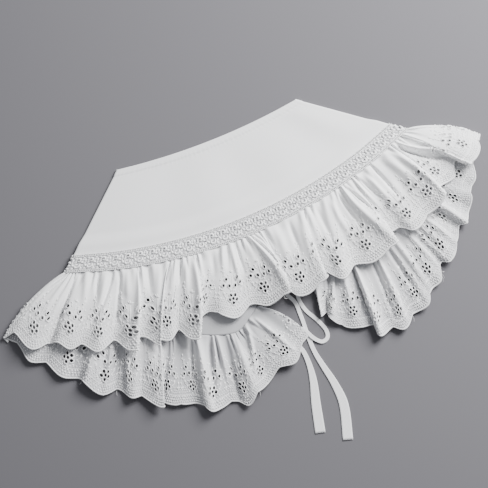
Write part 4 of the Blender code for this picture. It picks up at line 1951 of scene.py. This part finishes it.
COTTON = ClothFinish(
    name="cotton_lawn",
    bright=(0.90, 0.90, 0.905),
    dull=(0.86, 0.865, 0.875),
    roughness=0.82,
    sheen=0.12,
    threads=1500.0,
    slub=0.4,
    relief=0.35,
    grain=0.35,
)
LAWN = ClothFinish(
    name="sheer_lawn",
    bright=(0.93, 0.93, 0.935),
    dull=(0.88, 0.882, 0.89),
    roughness=0.85,
    sheen=0.1,
    threads=1300.0,
    slub=0.5,
    relief=0.4,
    grain=0.5,
    # Painted shade between the stitches near the hem.
    hem_shade=0.27,
)
# The same lawn, made darker as painted shade for the layers under the front, with more painted shade where
# the cloth lies low in its valleys.
SHADED_LAWN = ClothFinish(
    name="sheer_lawn_painted_shade",
    bright=(0.84, 0.84, 0.85),
    dull=(0.74, 0.742, 0.758),
    roughness=0.85,
    sheen=0.1,
    threads=1300.0,
    slub=0.5,
    relief=0.4,
    grain=0.5,
    # Painted shade between the stitches near the hem.
    hem_shade=0.25,
    # Painted shade where the cloth lies low in its valleys, close to the floor.
    low_shade=0.6,
)
# A grey ground: painted shade in the gaps between the braid's white stitches, over white cloth.
SHADED_NET = ClothFinish(
    name="braid_ground_painted_shade",
    bright=(0.60, 0.60, 0.612),
    dull=(0.50, 0.502, 0.52),
    roughness=0.9,
    sheen=0.05,
    threads=700.0,
    slub=0.5,
    relief=0.9,
    grain=0.6,
)
THREAD = ClothFinish(
    name="embroidery_thread",
    bright=(0.97, 0.97, 0.97),
    dull=(0.92, 0.92, 0.925),
    roughness=0.6,
    sheen=0.08,
    threads=2600.0,
    slub=0.6,
    relief=0.5,
    grain=0.6,
)
TAPE = ClothFinish(
    name="cotton_tape",
    bright=(0.88, 0.88, 0.885),
    dull=(0.83, 0.835, 0.845),
    roughness=0.75,
    sheen=0.1,
    threads=1100.0,
    slub=0.3,
    relief=0.6,
    grain=0.45,
)


@dataclass
class Studio:
    """The floor, the lights and the camera, in metres."""

    floor_size: float = 6.0
    floor_colour: tuple = (0.132, 0.129, 0.141)
    floor_roughness: float = 0.85
    lamp_place: tuple = (1.12, 0.44, 0.82)
    lamp_energy: float = 70.0
    lamp_size: float = 0.78
    sky_colour: tuple = (0.93, 0.95, 1.0)
    sky_strength: float = 0.36
    camera_azimuth: float = -22.7
    camera_elevation: float = 75.0
    camera_distance: float = 1.43
    camera_target: tuple = (-0.00668, 0.01549, 0.0)
    lens: float = 95.9

    def build(self) -> None:
        """Makes everything round the collar."""
        self.build_floor()
        self.build_lights()
        self.build_camera()

    def build_floor(self) -> None:
        """Makes a plain floor, without a pattern."""
        half = self.floor_size / 2
        mesh = bpy.data.meshes.new("studio_floor")
        corners = [(-half, -half, 0.0), (half, -half, 0.0), (half, half, 0.0), (-half, half, 0.0)]
        mesh.from_pydata(corners, [], [(0, 1, 2, 3)])
        floor = bpy.data.objects.new("studio_floor", mesh)
        bpy.context.scene.collection.objects.link(floor)
        material = bpy.data.materials.new("studio_floor")
        material.use_nodes = True
        shader = material.node_tree.nodes["Principled BSDF"]
        shader.inputs["Base Color"].default_value = (*self.floor_colour, 1.0)
        shader.inputs["Roughness"].default_value = self.floor_roughness
        mesh.materials.append(material)

    def build_lights(self) -> None:
        """Makes a large soft light at the upper right, and a dim even sky."""
        key = bpy.data.lights.new("key_light", "AREA")
        key.energy = self.lamp_energy
        key.size = self.lamp_size
        lamp = bpy.data.objects.new("key_light", key)
        lamp.location = self.lamp_place
        aim = Vector((0.0, 0.0, 0.0)) - lamp.location
        lamp.rotation_euler = aim.to_track_quat("-Z", "Y").to_euler()
        bpy.context.scene.collection.objects.link(lamp)
        world = bpy.data.worlds.new("studio_sky")
        world.use_nodes = True
        sky = world.node_tree.nodes["Background"]
        sky.inputs["Color"].default_value = (*self.sky_colour, 1.0)
        sky.inputs["Strength"].default_value = self.sky_strength
        bpy.context.scene.world = world

    def build_camera(self) -> None:
        """Makes the camera, at the photograph's angle to the collar."""
        azimuth = math.radians(self.camera_azimuth)
        elevation = math.radians(self.camera_elevation)
        back = Vector(
            (
                math.sin(azimuth) * math.cos(elevation),
                -math.cos(azimuth) * math.cos(elevation),
                math.sin(elevation),
            )
        )
        camera = bpy.data.cameras.new("camera")
        camera.lens = self.lens
        camera.sensor_width = 36.0
        holder = bpy.data.objects.new("camera", camera)
        holder.location = Vector(self.camera_target) + back * self.camera_distance
        holder.rotation_euler = (-back).to_track_quat("-Z", "Y").to_euler()
        bpy.context.scene.collection.objects.link(holder)
        bpy.context.scene.camera = holder


class Panel(NamedTuple):
    """What one panel of the yoke is made of.

    The braid on it spans these shares of the seam. The flat size is in metres and the area in square metres.
    """

    name: str
    neck: list
    seam: list
    cloth: ClothFinish
    columns: int
    braid_span: tuple[float, float]
    flat: tuple[float, float]
    area: float

    def form(self) -> YokeForm:
        """Works out the panel's surface: the front is folded at the shoulders, the back lies face down.

        Returns:
            The surface.
        """
        lines = Curve(self.neck, 2), Curve(self.seam, 2)
        if self.name == "front":
            heights = (FRONT_NECK_HEIGHT, FRONT_SEAM_HEIGHT)
            return YokeForm(*lines, *heights, FRONT_RISE, Side.UP, YOKE_SWELLS, folded=True)
        return YokeForm(*lines, BACK_NECK_HEIGHT, BACK_SEAM_HEIGHT, BACK_RISE, Side.DOWN)


PANELS = [
    Panel(
        name="front",
        neck=arc_points(NECK_LEFT, NECK_MIDDLE, NECK_RIGHT),
        seam=arc_points(SEAM_LEFT, SEAM_MIDDLE, SEAM_RIGHT),
        cloth=COTTON,
        columns=200,
        braid_span=(-0.004, 1.004),
        flat=(0.43, 0.13),
        area=0.037,
    ),
    Panel(
        name="back_left",
        neck=BACK_NECK_LEFT,
        seam=BACK_SEAM_LEFT,
        # The darker lawn here is painted shade where the front covers this panel.
        cloth=SHADED_LAWN,
        columns=60,
        braid_span=(0.02, 0.995),
        flat=(0.25, 0.125),
        area=0.0200,
    ),
    Panel(
        name="back_right",
        neck=BACK_NECK_RIGHT,
        seam=BACK_SEAM_RIGHT,
        # The darker lawn here is painted shade where the front covers this panel.
        cloth=SHADED_LAWN,
        columns=60,
        braid_span=(0.02, 0.995),
        flat=(0.22, 0.125),
        area=0.0185,
    ),
]


class Stretch(NamedTuple):
    """What one stretch of the ruffle is made of, with the flat strip's length in metres."""

    name: str
    cloth: ClothFinish
    folds: list[Fold]
    creases: list[Crease]
    lobes: list[float]
    wisps: list[Wisp]
    root_height: float
    mean_height: float
    gathers: int
    puff: float
    length: float


STRETCHES = [
    Stretch(
        name="front",
        cloth=LAWN,
        folds=FRONT_FOLDS,
        creases=FRONT_CREASES,
        lobes=FRONT_LOBES,
        wisps=FRONT_WISPS,
        root_height=FRONT_SEAM_HEIGHT,
        mean_height=10.5,
        gathers=54,
        puff=2.6,
        length=0.84,
    ),
    Stretch(
        name="back_left",
        # The darker lawn is painted shade on the layer under the front.
        cloth=SHADED_LAWN,
        folds=BACK_LEFT_FOLDS,
        creases=BACK_LEFT_CREASES,
        lobes=BACK_LEFT_LOBES,
        wisps=BACK_LEFT_WISPS,
        root_height=BACK_SEAM_HEIGHT,
        mean_height=4.5,
        gathers=27,
        puff=1.2,
        length=0.42,
    ),
    Stretch(
        name="back_right",
        # The darker lawn is painted shade on the layer under the front.
        cloth=SHADED_LAWN,
        folds=BACK_RIGHT_FOLDS,
        creases=BACK_RIGHT_CREASES,
        lobes=BACK_RIGHT_LOBES,
        wisps=BACK_RIGHT_WISPS,
        root_height=BACK_SEAM_HEIGHT,
        mean_height=4.5,
        gathers=27,
        puff=1.2,
        length=0.40,
    ),
]


class Collar:
    """The whole collar, made piece by piece."""

    def __init__(self) -> None:
        """Makes the materials and the yoke's surfaces."""
        weave, mottle = weave_group(), mottle_group()
        finishes = (COTTON, LAWN, SHADED_LAWN, SHADED_NET, THREAD, TAPE)
        self.materials = {finish: finish.material(weave, mottle) for finish in finishes}
        self.thread = self.materials[THREAD]
        self.forms = {panel.name: panel.form() for panel in PANELS}

    def build(self) -> None:
        """Makes every piece, the ties first."""
        for name, points in (("left", TIE_LEFT), ("right", TIE_RIGHT)):
            Tie(f"tie_{name}_tape", f"tie_{name}", points, self.materials[TAPE]).build()
        for panel in PANELS:
            self.build_panel(panel)
        repeat = Repeat()
        for stretch in STRETCHES:
            self.build_stretch(stretch, repeat)

    def build_panel(self, panel: Panel) -> None:
        """Makes a panel of the yoke and its braid.

        Args:
            panel: What it is made of.
        """
        name, form = panel.name, self.forms[panel.name]
        # The braid's ground takes the grey finish: painted shade between its stitches.
        cloth, net = self.materials[panel.cloth], self.materials[SHADED_NET]
        yoke = Yoke(f"yoke_{name}_cloth", f"yoke_{name}", form, cloth, self.thread, panel.columns).build()
        braid = Braid(f"braid_{name}_lace", f"braid_{name}", form, net, self.thread, panel.braid_span).build()

    def build_stretch(self, stretch: Stretch, repeat: Repeat) -> None:
        """Makes a stretch of the ruffle.

        Args:
            stretch: What it is made of.
            repeat: The repeat of its embroidery.
        """
        name = stretch.name
        form = RuffleForm(
            folds=stretch.folds,
            seam=self.forms[name].seam,
            root_height=stretch.root_height,
            mean_height=stretch.mean_height,
            gathers=stretch.gathers,
            creases=stretch.creases,
            folded=self.forms[name].folded,
            puff=stretch.puff,
        )
        pieces = Ruffle(
            name=f"ruffle_{name}_cloth",
            node=f"ruffle_{name}",
            form=form,
            lobes=stretch.lobes,
            cloth=self.materials[stretch.cloth],
            thread=self.thread,
            repeat=repeat,
            wisps=stretch.wisps,
        ).build()


def main() -> None:
    """Builds the collar and the studio round it."""
    logging.basicConfig(level=logging.INFO, format="%(name)s: %(message)s")
    Studio().build()
    Collar().build()


if __name__ == "__main__":
    main()
